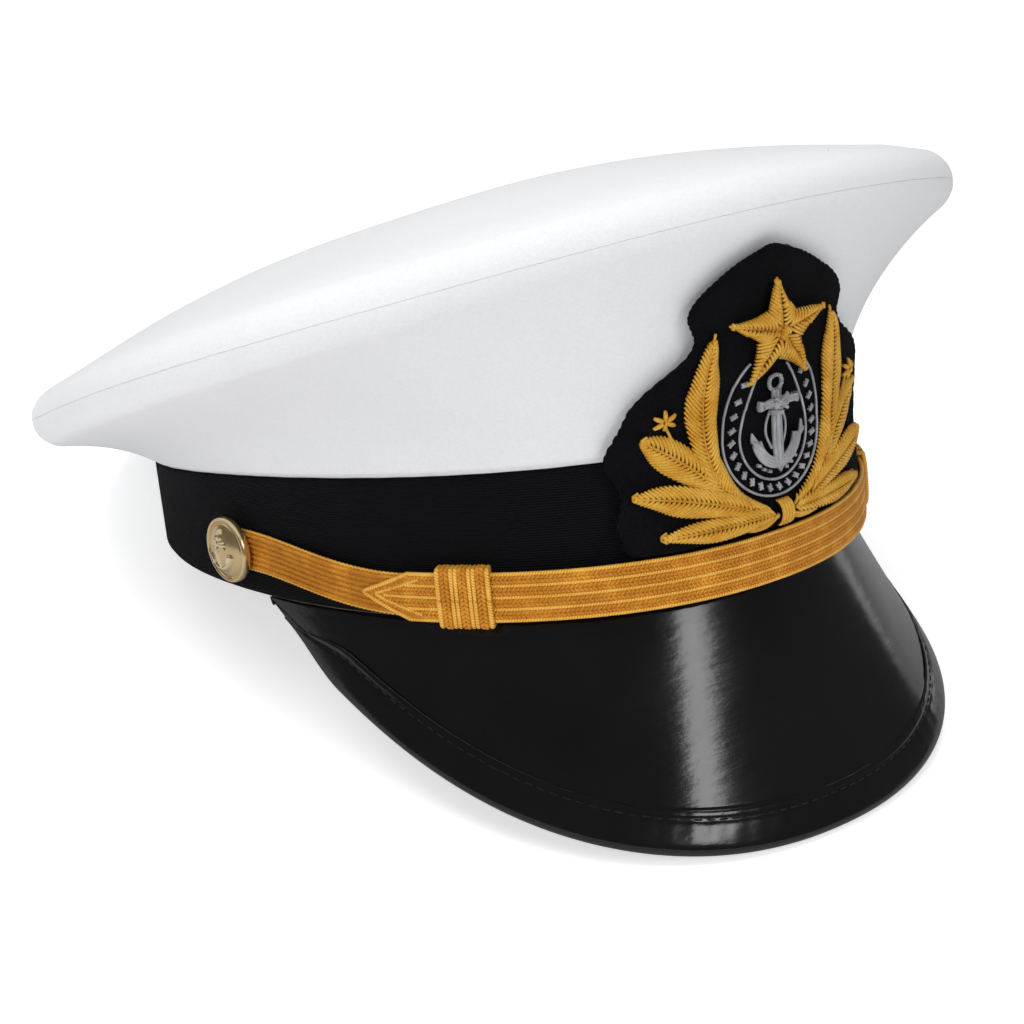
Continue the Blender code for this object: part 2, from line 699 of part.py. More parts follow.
STAR_CENTRE = BADGE_BOTTOM + 0.0485
STAR_RADIUS = 0.0145
RING_CENTRE = BADGE_BOTTOM + 0.0226
RING_RADIUS = 0.0150
TIE_HEIGHT = BADGE_BOTTOM + 0.0050
ANCHOR_HEAD = RING_CENTRE + 0.0140
ANCHOR_FOOT = RING_CENTRE - 0.0080
BUD_OUT = 0.0285
BUD_HEIGHT = BADGE_BOTTOM + 0.0320


def branch(sign):
    """The spine of one wreath branch, from the tie out and up beside the ring."""
    points = []
    for k in range(19):
        u = k / 18
        angle = math.radians(-78 + 128 * u)
        x = (RING_RADIUS + 0.0145 - 0.002 * u) * math.cos(angle) * 0.92
        y = RING_CENTRE + 0.0035 + (RING_RADIUS + 0.0075) * math.sin(angle) + 0.004 * u
        points.append((sign * x, y))
    return points


def branch_half_width(u):
    lobes = 1 + 0.16 * math.cos(2 * math.pi * 5 * u)
    return (0.0012 + 0.0052 * math.sin(math.pi * (0.03 + 0.95 * u)) ** 0.8) * lobes


strip("wreath_right", branch(-1), branch_half_width, motif_out, MOTIF_THICK, GOLD_BULLION)
strip("wreath_left", branch(1)[::-1], lambda u: branch_half_width(1 - u), motif_out, MOTIF_THICK, GOLD_BULLION)
strip("wreath_tie", [(x, TIE_HEIGHT) for x in spread(-0.0034, 0.0034, 5)], lambda u: 0.0030,
      over_out, MOTIF_THICK, GOLD_BULLION)


def radial(name, outline, centre, out, rise, thick, paint):
    """A plate inside an outline of (x, height) points, its middle raised."""
    cx, cy = centre
    rows = []
    for x, y in outline:
        middle = front_surface(cx + (x - cx) * 0.5, cy + (y - cy) * 0.5, out + 0.5 * rise)
        rows.append([front_surface(x, y, out), middle])
    return disc_shell(name, rows, front_surface(cx, cy, out + rise), thick, paint)


star_outline = []
for k in range(10):
    r = STAR_RADIUS if k % 2 == 0 else 0.46 * STAR_RADIUS
    a = math.pi / 2 + 2 * math.pi * k / 10
    star_outline.append((r * math.cos(a), STAR_CENTRE + r * math.sin(a)))
radial("star", star_outline[::-1], (0, STAR_CENTRE), over_out, 0.0008, MOTIF_THICK, GOLD_BULLION)

for side, sign in (("right", -1), ("left", 1)):
    bud = [(sign * BUD_OUT + 0.0026 * math.cos(a), BUD_HEIGHT + 0.0026 * math.sin(a))
           for a in ring_angles(10)]
    radial("bud_" + side, bud[::-1], (sign * BUD_OUT, BUD_HEIGHT), over_out, 0.0004, MOTIF_THICK, GOLD_BULLION)

ring_rows = []
for a in ring_angles(32):
    s, c = math.sin(a), math.cos(a)
    stretch = 1 + 0.40 * max(0.0, s) ** 2
    narrow = 1 + 0.15 * max(0.0, s) ** 2
    ring_rows.append([front_surface(r * c * narrow, RING_CENTRE + r * s * stretch, motif_out)
                      for r in (RING_RADIUS, RING_RADIUS - 0.0019, RING_RADIUS - 0.0038)])
grid_shell("silver_ring", ring_rows[::-1], 0.0008, SILVER_BULLION, closed=True)

anchor_out = motif_out
strip("anchor_shank", [(0, y) for y in spread(ANCHOR_FOOT + 0.0012, ANCHOR_HEAD - 0.0034, 6)], lambda u: 0.0009,
      anchor_out, MOTIF_THICK, SILVER_BULLION)
strip("anchor_stock", [(x, ANCHOR_HEAD - 0.0070) for x in spread(-0.0055, 0.0055, 5)], lambda u: 0.0009,
      over_out, 0.0008, SILVER_BULLION)
arms = []
for a in spread(math.radians(190), math.radians(350), 15):
    arms.append((0.0076 * math.cos(a), ANCHOR_FOOT + 0.0085 + 0.0086 * math.sin(a)))
strip("anchor_arms", arms, lambda u: 0.0005 + 0.0004 * abs(2 * u - 1), anchor_out, MOTIF_THICK, SILVER_BULLION)
eye = [[front_surface(r * math.cos(a), ANCHOR_HEAD - 0.0010 + r * math.sin(a), anchor_out) for r in (0.0020, 0.0011)]
       for a in ring_angles(14)]
grid_shell("anchor_ring", eye[::-1], 0.0008, SILVER_BULLION, closed=True)


# ---- pitch the cap so that the visor edge and the rear of the band touch the ground ----
rear = [on_band(t, core_out, 0) for t in ring_angles()]
low_pitch, high_pitch = 0.0, 0.6
for _ in range(50):
    pitch = (low_pitch + high_pitch) / 2
    visor_low = min(-p.y * math.sin(pitch) + p.z * math.cos(pitch) for p in binding_points) - BINDING_RADIUS
    rear_low = min(-p.y * math.sin(pitch) + p.z * math.cos(pitch) for p in rear)
    if visor_low < rear_low:
        low_pitch = pitch
    else:
        high_pitch = pitch
cap.rotation_euler = (-pitch, 0, 0)
bpy.context.view_layer.update()
graph = bpy.context.evaluated_depsgraph_get()
ys, zs, xs = [], [], []
for obj in pieces.objects:
    if obj.type == "MESH":
        shown = obj.evaluated_get(graph)
        for v in shown.data.vertices:
            p = shown.matrix_world @ v.co
            xs.append(p.x)
            ys.append(p.y)
            zs.append(p.z)
cap.location = (0, -(min(ys) + max(ys)) / 2, -min(zs))
bpy.context.view_layer.update()
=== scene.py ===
import json
import math

import bmesh
import bpy
import numpy as np
from mathutils import Matrix, Vector


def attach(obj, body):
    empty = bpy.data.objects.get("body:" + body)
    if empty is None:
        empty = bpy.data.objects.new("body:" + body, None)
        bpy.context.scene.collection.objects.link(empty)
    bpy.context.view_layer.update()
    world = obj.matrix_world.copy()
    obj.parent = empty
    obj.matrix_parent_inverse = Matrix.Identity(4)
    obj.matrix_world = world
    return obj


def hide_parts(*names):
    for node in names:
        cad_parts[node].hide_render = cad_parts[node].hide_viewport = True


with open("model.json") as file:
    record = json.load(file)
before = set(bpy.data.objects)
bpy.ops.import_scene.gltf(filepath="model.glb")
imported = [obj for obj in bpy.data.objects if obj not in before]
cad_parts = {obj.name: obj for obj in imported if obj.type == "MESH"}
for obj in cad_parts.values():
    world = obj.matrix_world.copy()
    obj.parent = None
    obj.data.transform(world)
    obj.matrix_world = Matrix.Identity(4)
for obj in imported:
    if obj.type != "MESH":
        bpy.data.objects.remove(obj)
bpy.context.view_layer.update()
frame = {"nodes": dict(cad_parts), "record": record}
nodes = frame["nodes"]
print("frame loaded", len(nodes), "nodes")

# where the cap stands: its lower edge's centre and its own upward axis come from the head opening
mounts = {m["name"]: m for m in frame["record"]["mounts"]}
origin = np.array(mounts["head_opening"]["pos_m"], float)
upAxis = -np.array(mounts["head_opening"]["axis"], float)
capTurn = np.array([[1, 0, 0], [0, upAxis[2], upAxis[1]], [0, -upAxis[1], upAxis[2]]])


def toTable(points):
    return np.asarray(points, float) @ capTurn.T + origin


# the cap's own shapes: angle 0 is the front, positive towards the wearer's left
band = {"halfWidth": 0.0836, "halfLength": 0.1057, "squareness": 2.12, "taper": 0.07, "sideHeight": 0.0302,
        "frontHeight": 0.0360, "rearHeight": 0.0166}
crown = {"halfWidth": 0.1099, "halfLength": 0.1285, "setback": 0.0163, "squareness": 2.14, "taper": -0.18,
         "height": 0.0542, "pitch": 0.0350, "saddle": 0.0013, "roll": 0.0080, "dome": 0.0195,
         "domePower": 2.3,
         "clothThick": 0.0008, "seamGap": 0.00010}


def oval(t, a, b, power, taper):
    s, c = np.sin(t), np.cos(t)
    r = (np.abs(s) ** power + np.abs(c) ** power) ** (-1 / power)
    return a * r * s * (1 - taper * c), -b * r * c


def onBand(t, out, z):
    x, y = oval(t, band["halfWidth"] + out, band["halfLength"] + out, band["squareness"], band["taper"])
    return np.stack(np.broadcast_arrays(x, y, z), -1)


def bandTop(t):
    mean = (band["frontHeight"] + band["rearHeight"]) / 2
    saddle = (mean - band["sideHeight"]) / 2
    return mean - saddle + (band["frontHeight"] - band["rearHeight"]) / 2 * np.cos(t) + saddle * np.cos(2 * t)


def rim(t):
    x, y = oval(t, crown["halfWidth"], crown["halfLength"], crown["squareness"], crown["taper"])
    z = crown["height"] + crown["pitch"] * np.cos(t) + crown["saddle"] * np.cos(2 * t)
    return np.stack([x, y + crown["setback"], z], -1)


def unit(v):
    return v / np.maximum(1e-12, np.linalg.norm(v, axis=-1, keepdims=True))


def flatNormal(path, t):
    along = path(t + 0.001) - path(t - 0.001)
    return unit(np.stack([along[..., 1], -along[..., 0], 0 * along[..., 0]], -1))


def bandNormal(t):
    return flatNormal(lambda q: onBand(q, 0, 0), t)


def sideProfile(t, rows=24, arcRows=10):
    # points [..., row, 3] from the band's top edge up to the seam on the roll
    foot = onBand(t, -0.0002, bandTop(t) + 0.0004)
    centre, normal, up = rim(t), flatNormal(rim, t), np.array([0, 0, 1.0])
    across = ((centre - foot) * normal).sum(-1)
    rise = centre[..., 2] - foot[..., 2]
    reach = np.hypot(across, rise)
    chord = np.arctan2(rise, across) - np.arcsin(np.minimum(0.95, crown["roll"] / reach))
    end = chord - math.radians(16) * np.clip(rise / 0.04, 0, 1)
    touch = end - math.pi / 2
    a, r, k = across[..., None], rise[..., None], reach[..., None]
    p3 = centre + crown["roll"] * (np.cos(touch)[..., None] * normal + np.sin(touch)[..., None] * up)
    p1 = foot + 0.36 * k * unit(0.35 * a * normal + (r - 0.8 * crown["roll"]) * up)
    p2 = p3 - 0.34 * k * (np.cos(end)[..., None] * normal + np.sin(end)[..., None] * up)
    u = (np.arange(rows) / rows)[:, None]
    v = 1 - u
    f, b, c, d = (p[..., None, :] for p in (foot, p1, p2, p3))
    bend = v ** 3 * f + 3 * v * v * u * b + 3 * v * u * u * c + u ** 3 * d
    stop = -0.5 * crown["seamGap"] / crown["roll"]
    k = np.arange(arcRows + 1) / arcRows
    angle = (touch[..., None] + (stop - touch[..., None]) * k)[..., None]
    arc = centre[..., None, :] + crown["roll"] * (np.cos(angle) * normal[..., None, :] + np.sin(angle) * up)
    return np.concatenate([bend, arc], -2)


def topProfile(t, arcRows=12, domeRows=26):
    # points [..., row, 3] from the seam over the roll to near the middle of the top
    normal, up, edge = flatNormal(rim, t), np.array([0, 0, 1.0]), rim(t)
    start = 0.5 * crown["seamGap"] / crown["roll"]
    angle = (start + (math.radians(66) - start) * np.arange(arcRows) / (arcRows - 1))[:, None]
    arc = edge[..., None, :] + crown["roll"] * (np.cos(angle) * normal[..., None, :] + np.sin(angle) * up)
    s = 1 - np.arange(1, domeRows + 1) / (domeRows + 1)
    z = crown["height"] + (edge[...,
                                2:] - crown["height"]) * s + crown["roll"] + crown["dome"] * (1 - s ** crown["domePower"])
    z = z + 0.0006 * np.clip((s - 0.88) / 0.12, 0, 1) ** 2
    x, y = edge[..., :1] * s, (edge[..., 1:2] - crown["setback"]) * s + crown["setback"]
    return np.concatenate([arc, np.stack([x, y, z], -1)], -2)


# meshes from points
def hashNoise(*values):
    # a fixed soft noise from -1 to 1
    total = 0
    for k, v in enumerate(values):
        total = total + np.sin(v * (1.0 + 0.37 * k) + 1.7 * k) * np.cos(0.61 * v + 2.3 * k)
    return total / len(values)


def makeObject(name, vertices, faces, paint, smooth=True):
    mesh = bpy.data.meshes.new(name)
    mesh.from_pydata([tuple(v) for v in np.asarray(vertices, float).reshape(-1, 3)], [],
                     [list(f) for f in faces])
    mesh.update()
    obj = bpy.data.objects.new(name, mesh)
    bpy.context.scene.collection.objects.link(obj)
    if paint:
        mesh.materials.append(paint)
    if smooth:
        mesh.shade_smooth()
    return obj


def gridObject(name, rows, paint, closed=False, closedAcross=False, pole=None, uvScale=1.0, thick=0.0,
               offset=-1.0):
    # a sheet through rows of cap points; its UV runs along the rows in metres times uvScale
    rows = np.asarray(rows, float)
    n, m = rows.shape[:2]
    points = toTable(rows.reshape(-1, 3))
    index = np.arange(n * m).reshape(n, m)
    last, wide = (n if closed else n - 1), (m if closedAcross else m - 1)
    faces = [(index[i, j], index[(i + 1) % n, j], index[(i + 1) % n, (j + 1) % m], index[i, (j + 1) % m])
             for i in range(last) for j in range(wide)]
    if pole is not None:
        points = np.vstack([points, toTable(pole)])
        faces += [(index[i, -1], index[(i + 1) % n, -1], n * m) for i in range(last)]
    obj = makeObject(name, points, faces, paint)
    across = np.concatenate([np.zeros((n, 1)), np.cumsum(np.linalg.norm(np.diff(rows, axis=1), axis=-1),
                                                         1)], 1)
    middle = rows[:, m // 2]
    gaps = np.linalg.norm(np.roll(middle, -1, 0) - middle, axis=-1)
    along = np.concatenate([[0], np.cumsum(gaps)])
    uv = obj.data.uv_layers.new(name="cloth")
    flat = []
    for poly in obj.data.polygons:
        i = poly.vertices[0] // m
        for v in poly.vertices:
            if v >= n * m:
                flat += [along[i] * uvScale, across[i].max() * uvScale]
                continue
            a, b = divmod(v, m)
            a = a + n if (a == 0 and i == n - 1) else a
            flat += [along[a] * uvScale, across[v // m, b] * uvScale]
    uv.data.foreach_set("uv", flat)
    if thick:
        wall = obj.modifiers.new("wall", "SOLIDIFY")
        wall.thickness = thick
        wall.offset = offset
        wall.use_even_offset = True
    return obj


def ringAngles(count):
    return -math.pi + 2 * math.pi * np.arange(count) / count


def smooth(u):
    u = np.clip(u, 0, 1)
    return u * u * (3 - 2 * u)


# shader node groups
def startGroup(name, inputs, outputs):
    group = bpy.data.node_groups.new(name, "ShaderNodeTree")
    for label, value in inputs:
        socket = group.interface.new_socket(label, in_out="INPUT",
                                            socket_type="NodeSocketColor" if isinstance(value, tuple) else "NodeSocketFloat")
        socket.default_value = value
    for label, kind in outputs:
        group.interface.new_socket(label, in_out="OUTPUT", socket_type=kind)
    return group, group.nodes.new("NodeGroupInput"), group.nodes.new("NodeGroupOutput")


def link(tree, a, b):
    tree.links.new(a, b)
    return b.node


def maths(tree, kind, a, b=None, c=None):
    node = tree.nodes.new("ShaderNodeMath")
    node.operation = kind
    for slot, value in zip(node.inputs, (a, b, c)):
        if value is None:
            continue
        if isinstance(value, (int, float)):
            slot.default_value = value
        else:
            tree.links.new(value, slot)
    return node.outputs[0]


def colourRamp(tree, fac, stops):
    ramp = tree.nodes.new("ShaderNodeValToRGB")
    elements = ramp.color_ramp.elements
    while len(elements) < len(stops):
        elements.new(0.5)
    for element, (place, colour) in zip(elements, stops):
        element.position = place
        element.color = (*colour, 1) if len(colour) == 3 else colour
    tree.links.new(fac, ramp.inputs[0])
    return ramp.outputs[0]


def mixColour(tree, fac, a, b, blend="MIX"):
    node = tree.nodes.new("ShaderNodeMix")
    node.data_type = "RGBA"
    node.blend_type = blend
    for slot, value in ((node.inputs["Factor"], fac), (node.inputs[6], a), (node.inputs[7], b)):
        if isinstance(value, (int, float)):
            slot.default_value = value
        elif isinstance(value, tuple):
            slot.default_value = (*value, 1) if len(value) == 3 else value
        else:
            tree.links.new(value, slot)
    return node.outputs[2]


def noiseOf(tree, vector, scale, detail=3.0, roughness=0.55):
    node = tree.nodes.new("ShaderNodeTexNoise")
    node.inputs["Scale"].default_value = scale
    node.inputs["Detail"].default_value = detail
    node.inputs["Roughness"].default_value = roughness
    tree.links.new(vector, node.inputs["Vector"])
    return node.outputs[0]


def makeWeave():
    # over-and-under threads on a UV map in metres: a height, and a mask of the gaps
    group, into, out = startGroup("threadWeave", [("Threads per mm", 2.0), ("Ridge", 0.5)],
                                  [("Height", "NodeSocketFloat"), ("Gaps", "NodeSocketFloat")])
    coord = group.nodes.new("ShaderNodeUVMap")
    coord.uv_map = "cloth"
    split = group.nodes.new("ShaderNodeSeparateXYZ")
    link(group, coord.outputs[0], split.inputs[0])
    rate = maths(group, "MULTIPLY", into.outputs[0], 1000 * math.pi)
    u, v = (maths(group, "MULTIPLY", split.outputs[k], rate) for k in (0, 1))
    su, sv = maths(group, "SINE", u), maths(group, "SINE", v)
    over = maths(group, "MULTIPLY", su, sv)
    rounded = maths(group, "MULTIPLY", maths(group, "ABSOLUTE", su), maths(group, "ABSOLUTE", sv))
    height = maths(group, "MULTIPLY_ADD", over, into.outputs[1], rounded)
    link(group, height, out.inputs[0])
    link(group, maths(group, "SUBTRACT", 1, rounded), out.inputs[1])
    return group


def makeGrain():
    # fine surface variation in object space: a broad tone, fine grain and small creases
    group, into, out = startGroup("surfaceGrain", [("Broad scale", 30.0), ("Fine scale", 900.0),
                                                   ("Crease scale", 160.0)],
                                  [("Broad", "NodeSocketFloat"), ("Fine", "NodeSocketFloat"),
                                   ("Creases", "NodeSocketFloat")])
    coord = group.nodes.new("ShaderNodeTexCoord").outputs["Object"]
    for k in range(2):
        noise = group.nodes.new("ShaderNodeTexNoise")
        link(group, coord, noise.inputs["Vector"])
        link(group, into.outputs[k], noise.inputs["Scale"])
        noise.inputs["Detail"].default_value = 4.0
        link(group, noise.outputs[0], out.inputs[k])
    cells = group.nodes.new("ShaderNodeTexVoronoi")
    cells.feature = "DISTANCE_TO_EDGE"
    link(group, coord, cells.inputs["Vector"])
    link(group, into.outputs[2], cells.inputs["Scale"])
    link(group, maths(group, "MINIMUM", maths(group, "MULTIPLY", cells.outputs["Distance"], 6.0), 1.0),
         out.inputs[2])
    return group


def makeTwist():
    # the lay of a twisted thread, from the attribute that a swept cord carries
    group, into, out = startGroup("threadTwist", [("Turns per mm", 1.0), ("Strands", 2.0)],
                                  [("Height", "NodeSocketFloat")])
    cord = group.nodes.new("ShaderNodeAttribute")
    cord.attribute_name = "cordPlace"
    split = group.nodes.new("ShaderNodeSeparateXYZ")
    link(group, cord.outputs["Vector"], split.inputs[0])
    turn = maths(group, "MULTIPLY", split.outputs[2], maths(group, "MULTIPLY", into.outputs[0],
                                                            1000 * 2 * math.pi))
    wave = maths(group, "ADD", maths(group, "MULTIPLY", maths(group, "SINE", turn), split.outputs[0]),
                 maths(group, "MULTIPLY", maths(group, "COSINE", turn), split.outputs[1]))
    link(group, maths(group, "ABSOLUTE", wave), out.inputs[0])
    return group


weaveGroup, grainGroup, twistGroup = makeWeave(), makeGrain(), makeTwist()


def startMaterial(name, roughness, metallic=0.0, **fixed):
    paint = bpy.data.materials.new(name)
    paint.use_nodes = True
    tree = paint.node_tree
    shader = tree.nodes["Principled BSDF"]
    shader.inputs["Roughness"].default_value = roughness
    shader.inputs["Metallic"].default_value = metallic
    for label, value in fixed.items():
        shader.inputs[label.replace("_", " ")].default_value = value
    return paint, tree, shader


def place(tree, group, *values):
    node = tree.nodes.new("ShaderNodeGroup")
    node.node_tree = group
    for slot, value in zip(node.inputs, values):
        slot.default_value = value
    return node.outputs


def bump(tree, shader, height, strength, distance, after=None):
    node = tree.nodes.new("ShaderNodeBump")
    node.inputs["Strength"].default_value = strength
    node.inputs["Distance"].default_value = distance
    link(tree, height, node.inputs["Height"])
    if after:
        link(tree, after, node.inputs["Normal"])
    link(tree, node.outputs[0], shader.inputs["Normal"])
    return node.outputs[0]


def rampRoughness(tree, shader, fac, low, high):
    value = maths(tree, "MULTIPLY_ADD", fac, high - low, low)
    link(tree, value, shader.inputs["Roughness"])


def woven(name, dark, light, threads, roughness, strength, sheen=0.0, sheenTint=(1, 1, 1, 1), ridge=0.5,
          distance=0.0002):
    # cloth with its threads, a soft change of tone, painted shade darkening the gaps between threads, and a sheen
    paint, tree, shader = startMaterial(name, roughness, Sheen_Weight=sheen, Sheen_Roughness=0.5,
                                        Sheen_Tint=sheenTint)
    threadsOut = place(tree, weaveGroup, threads, ridge)
    grain = place(tree, grainGroup, 14.0, 1300.0, 160.0)
    tone = maths(tree, "MULTIPLY_ADD", grain[0], 0.5, maths(tree, "MULTIPLY", grain[1], 0.5))
    colour = colourRamp(tree, tone, [(0.30, dark), (0.68, light)])
    # the gaps between threads are mixed towards the dark colour: painted shade in the weave's hollows
    gaps = maths(tree, "MULTIPLY", threadsOut[1], 0.30)
    link(tree, mixColour(tree, gaps, colour, dark), shader.inputs["Base Color"])
    height = maths(tree, "MULTIPLY_ADD", grain[1], 0.35, threadsOut[0])
    bump(tree, shader, height, strength, distance)
    rampRoughness(tree, shader, grain[0], roughness - 0.08, roughness + 0.06)
    return paint


def grained(name, dark, light, broad, fine, crease, roughness, strength, distance=0.0003, metallic=0.0,
            **fixed):
    # leather, fibre, foam or metal with its grain and worn tone
    paint, tree, shader = startMaterial(name, roughness, metallic, **fixed)
    grain = place(tree, grainGroup, broad, fine, crease)
    link(tree, colourRamp(tree, grain[0], [(0.32, dark), (0.66, light)]), shader.inputs["Base Color"])
    height = maths(tree, "MULTIPLY_ADD", grain[1], 0.5, grain[2])
    bump(tree, shader, height, strength, distance)
    rampRoughness(tree, shader, grain[1], roughness - 0.07, roughness + 0.09)
    return paint


def fuzzy(name, dark, light, broad, fine, roughness, strength, distance):
    # felt: matted fibres with no weave
    paint, tree, shader = startMaterial(name, roughness, Specular_IOR_Level=0.07, Sheen_Weight=0.01,
                                        Sheen_Roughness=0.4)
    grain = place(tree, grainGroup, broad, fine, 300.0)
    fibres = maths(tree, "MULTIPLY_ADD", grain[1], 0.7, maths(tree, "MULTIPLY", grain[0], 0.3))
    link(tree, colourRamp(tree, fibres, [(0.35, dark), (0.65, light)]), shader.inputs["Base Color"])
    bump(tree, shader, fibres, strength, distance)
    rampRoughness(tree, shader, grain[0], roughness - 0.06, 1.0)
    return paint


def twisted(name, dark, mid, light, turns, roughness, metallic, strength=0.6, distance=0.0002, **fixed):
    # metallic thread: a painted highlight on the crest of each turn and painted shade in its groove, over a random
    # tone
    paint, tree, shader = startMaterial(name, roughness, metallic, **fixed)
    lay = place(tree, twistGroup, turns, 2.0)[0]
    grain = place(tree, grainGroup, 180.0, 2600.0, 700.0)
    # the colour follows the twist's lay: lighter on each crest as a painted highlight, darker in each groove as
    # painted shade, mixed with a random grain tone
    tone = maths(tree, "MULTIPLY_ADD", grain[0], 0.6, maths(tree, "MULTIPLY", lay, 0.45))
    link(tree, colourRamp(tree, tone, [(0.28, dark), (0.52, mid), (0.80, light)]),
         shader.inputs["Base Color"])
    bump(tree, shader, maths(tree, "MULTIPLY_ADD", grain[1], 0.25, lay), strength, distance)
    rampRoughness(tree, shader, grain[1], roughness - 0.08, roughness + 0.12)
    return paint


whiteCotton = woven("whiteCotton", (0.80, 0.81, 0.835), (0.90, 0.905, 0.925), 2.6, 0.78, 0.16, sheen=0.25)
blackFelt = fuzzy("blackFelt", (0.0022, 0.0022, 0.003), (0.0075, 0.0075, 0.009), 90.0, 3200.0, 0.96, 0.8,
                  0.0004)
visorUnder = woven("visorUnder", (0.010, 0.013, 0.012), (0.022, 0.028, 0.025), 1.6, 0.62, 0.5, sheen=0.1)
bandFibre = grained("bandFibre", (0.055, 0.042, 0.030), (0.125, 0.098, 0.070), 60.0, 900.0, 300.0, 0.72,
                    0.5)
sweatLeather = grained("sweatLeather", (0.105, 0.052, 0.026), (0.205, 0.115, 0.062), 34.0, 1100.0, 620.0,
                       0.46, 0.35, 0.0002)
rimFoam = grained("rimFoam", (0.62, 0.60, 0.54), (0.84, 0.83, 0.78), 60.0, 800.0, 900.0, 0.92, 0.8)
springSteel = grained("springSteel", (0.38, 0.39, 0.41), (0.62, 0.63, 0.66), 90.0, 1800.0, 500.0, 0.30,
                      0.12, 0.0001, 1.0)
cardBoard = grained("stiffener", (0.060, 0.050, 0.038), (0.115, 0.095, 0.070), 50.0, 1200.0, 350.0, 0.8,
                    0.4)
blackThread = twisted("blackThread", (0.006, 0.006, 0.008), (0.013, 0.013, 0.016), (0.03, 0.03, 0.034),
                      0.9, 0.42, 0.0, 0.5)
tanThread = twisted("tanThread", (0.16, 0.09, 0.05), (0.30, 0.19, 0.11), (0.46, 0.32, 0.20), 0.9, 0.6, 0.0,
                    0.5)
braidGold = twisted("braidGold", (0.62, 0.25, 0.018), (0.98, 0.47, 0.046), (1.00, 0.66, 0.13), 1.1, 0.38,
                    0.12, 0.45)
cordGold = twisted("cordGold", (0.52, 0.20, 0.014), (0.95, 0.45, 0.046), (1.00, 0.64, 0.13), 0.75, 0.38,
                   0.12, 0.6)
bullionGold = twisted("bullionGold", (0.42, 0.155, 0.008), (1.00, 0.50, 0.040), (1.00, 0.70, 0.15), 1.9,
                      0.27, 0.32, 0.5, 0.00025)
bullionSilver = twisted("bullionSilver", (0.17, 0.175, 0.19), (0.50, 0.51, 0.54), (0.90, 0.90, 0.93), 1.9,
                        0.30, 0.50, 0.55, 0.00025)


def makeMohair():
    # ribbed black braid: fine level ribs with a thread grain; each rib's crest has a painted highlight and the hollows
    # between ribs have painted shade
    paint, tree, shader = startMaterial("blackMohair", 0.80, Specular_IOR_Level=0.10, Sheen_Weight=0.005,
                                        Sheen_Roughness=0.4)
    coord = tree.nodes.new("ShaderNodeUVMap")
    coord.uv_map = "cloth"
    split = tree.nodes.new("ShaderNodeSeparateXYZ")
    link(tree, coord.outputs[0], split.inputs[0])
    rib = maths(tree, "ABSOLUTE", maths(tree, "SINE", maths(tree, "MULTIPLY", split.outputs[1],
                                                            math.pi / 0.00062)))
    cross = maths(tree, "SINE", maths(tree, "MULTIPLY", split.outputs[0], 2 * math.pi / 0.00045))
    grain = place(tree, grainGroup, 40.0, 1500.0, 300.0)
    # the ribs' crests are painted lighter and the hollows between them painted darker, as painted highlight and
    # painted shade, with a random grain
    tone = maths(tree, "MULTIPLY_ADD", grain[1], 0.4, maths(tree, "MULTIPLY", rib, 0.6))
    link(tree, colourRamp(tree, tone, [(0.2, (0.0015, 0.0015, 0.0022)), (0.85, (0.0075, 0.0078, 0.0095))]),
         shader.inputs["Base Color"])
    height = maths(tree, "MULTIPLY_ADD", cross, 0.12, rib)
    bump(tree, shader, maths(tree, "MULTIPLY_ADD", grain[1], 0.2, height), 0.7, 0.0003)
    rampRoughness(tree, shader, grain[1], 0.72, 0.92)
    return paint


def makePatent():
    # lacquered leather: black under a clear coat that ripples a little
    paint, tree, shader = startMaterial("patentLeather", 0.16, Coat_Weight=0.0, Specular_IOR_Level=0.62)
    grain = place(tree, grainGroup, 26.0, 420.0, 210.0)
    link(tree, colourRamp(tree, grain[0], [(0.3, (0.0022, 0.0022, 0.0026)),
                                           (0.7, (0.0052, 0.0052, 0.0058))]), shader.inputs["Base Color"])
    coord = tree.nodes.new("ShaderNodeTexCoord").outputs["Object"]
    stretch = tree.nodes.new("ShaderNodeMapping")
    stretch.inputs["Scale"].default_value = (0.35, 1.0, 1.6)
    stretch.inputs["Rotation"].default_value = (0.5, 0.25, 0.5)
    link(tree, coord, stretch.inputs["Vector"])
    ripple = noiseOf(tree, stretch.outputs[0], 210.0, 4.0, 0.55)
    fine = noiseOf(tree, coord, 900.0, 2.0, 0.5)
    height = maths(tree, "MULTIPLY_ADD", fine, 0.05, ripple)
    bump(tree, shader, height, 0.16, 0.0006)
    link(tree, maths(tree, "MULTIPLY_ADD", noiseOf(tree, coord, 60.0, 3.0), 0.14, 0.10),
         shader.inputs["Roughness"])
    return paint


def makeSatin():
    paint, tree, shader = startMaterial("liningSatin", 0.34, Sheen_Weight=0.3, Anisotropic=0.4)
    threads = place(tree, weaveGroup, 3.0, 0.2)
    grain = place(tree, grainGroup, 22.0, 800.0, 160.0)
    link(tree, colourRamp(tree, grain[0], [(0.3, (0.46, 0.47, 0.49)), (0.7, (0.62, 0.63, 0.65))]),
         shader.inputs["Base Color"])
    bump(tree, shader, maths(tree, "MULTIPLY_ADD", grain[0], 4.0, threads[0]), 0.25, 0.0003)
    rampRoughness(tree, shader, grain[1], 0.28, 0.44)
    return paint


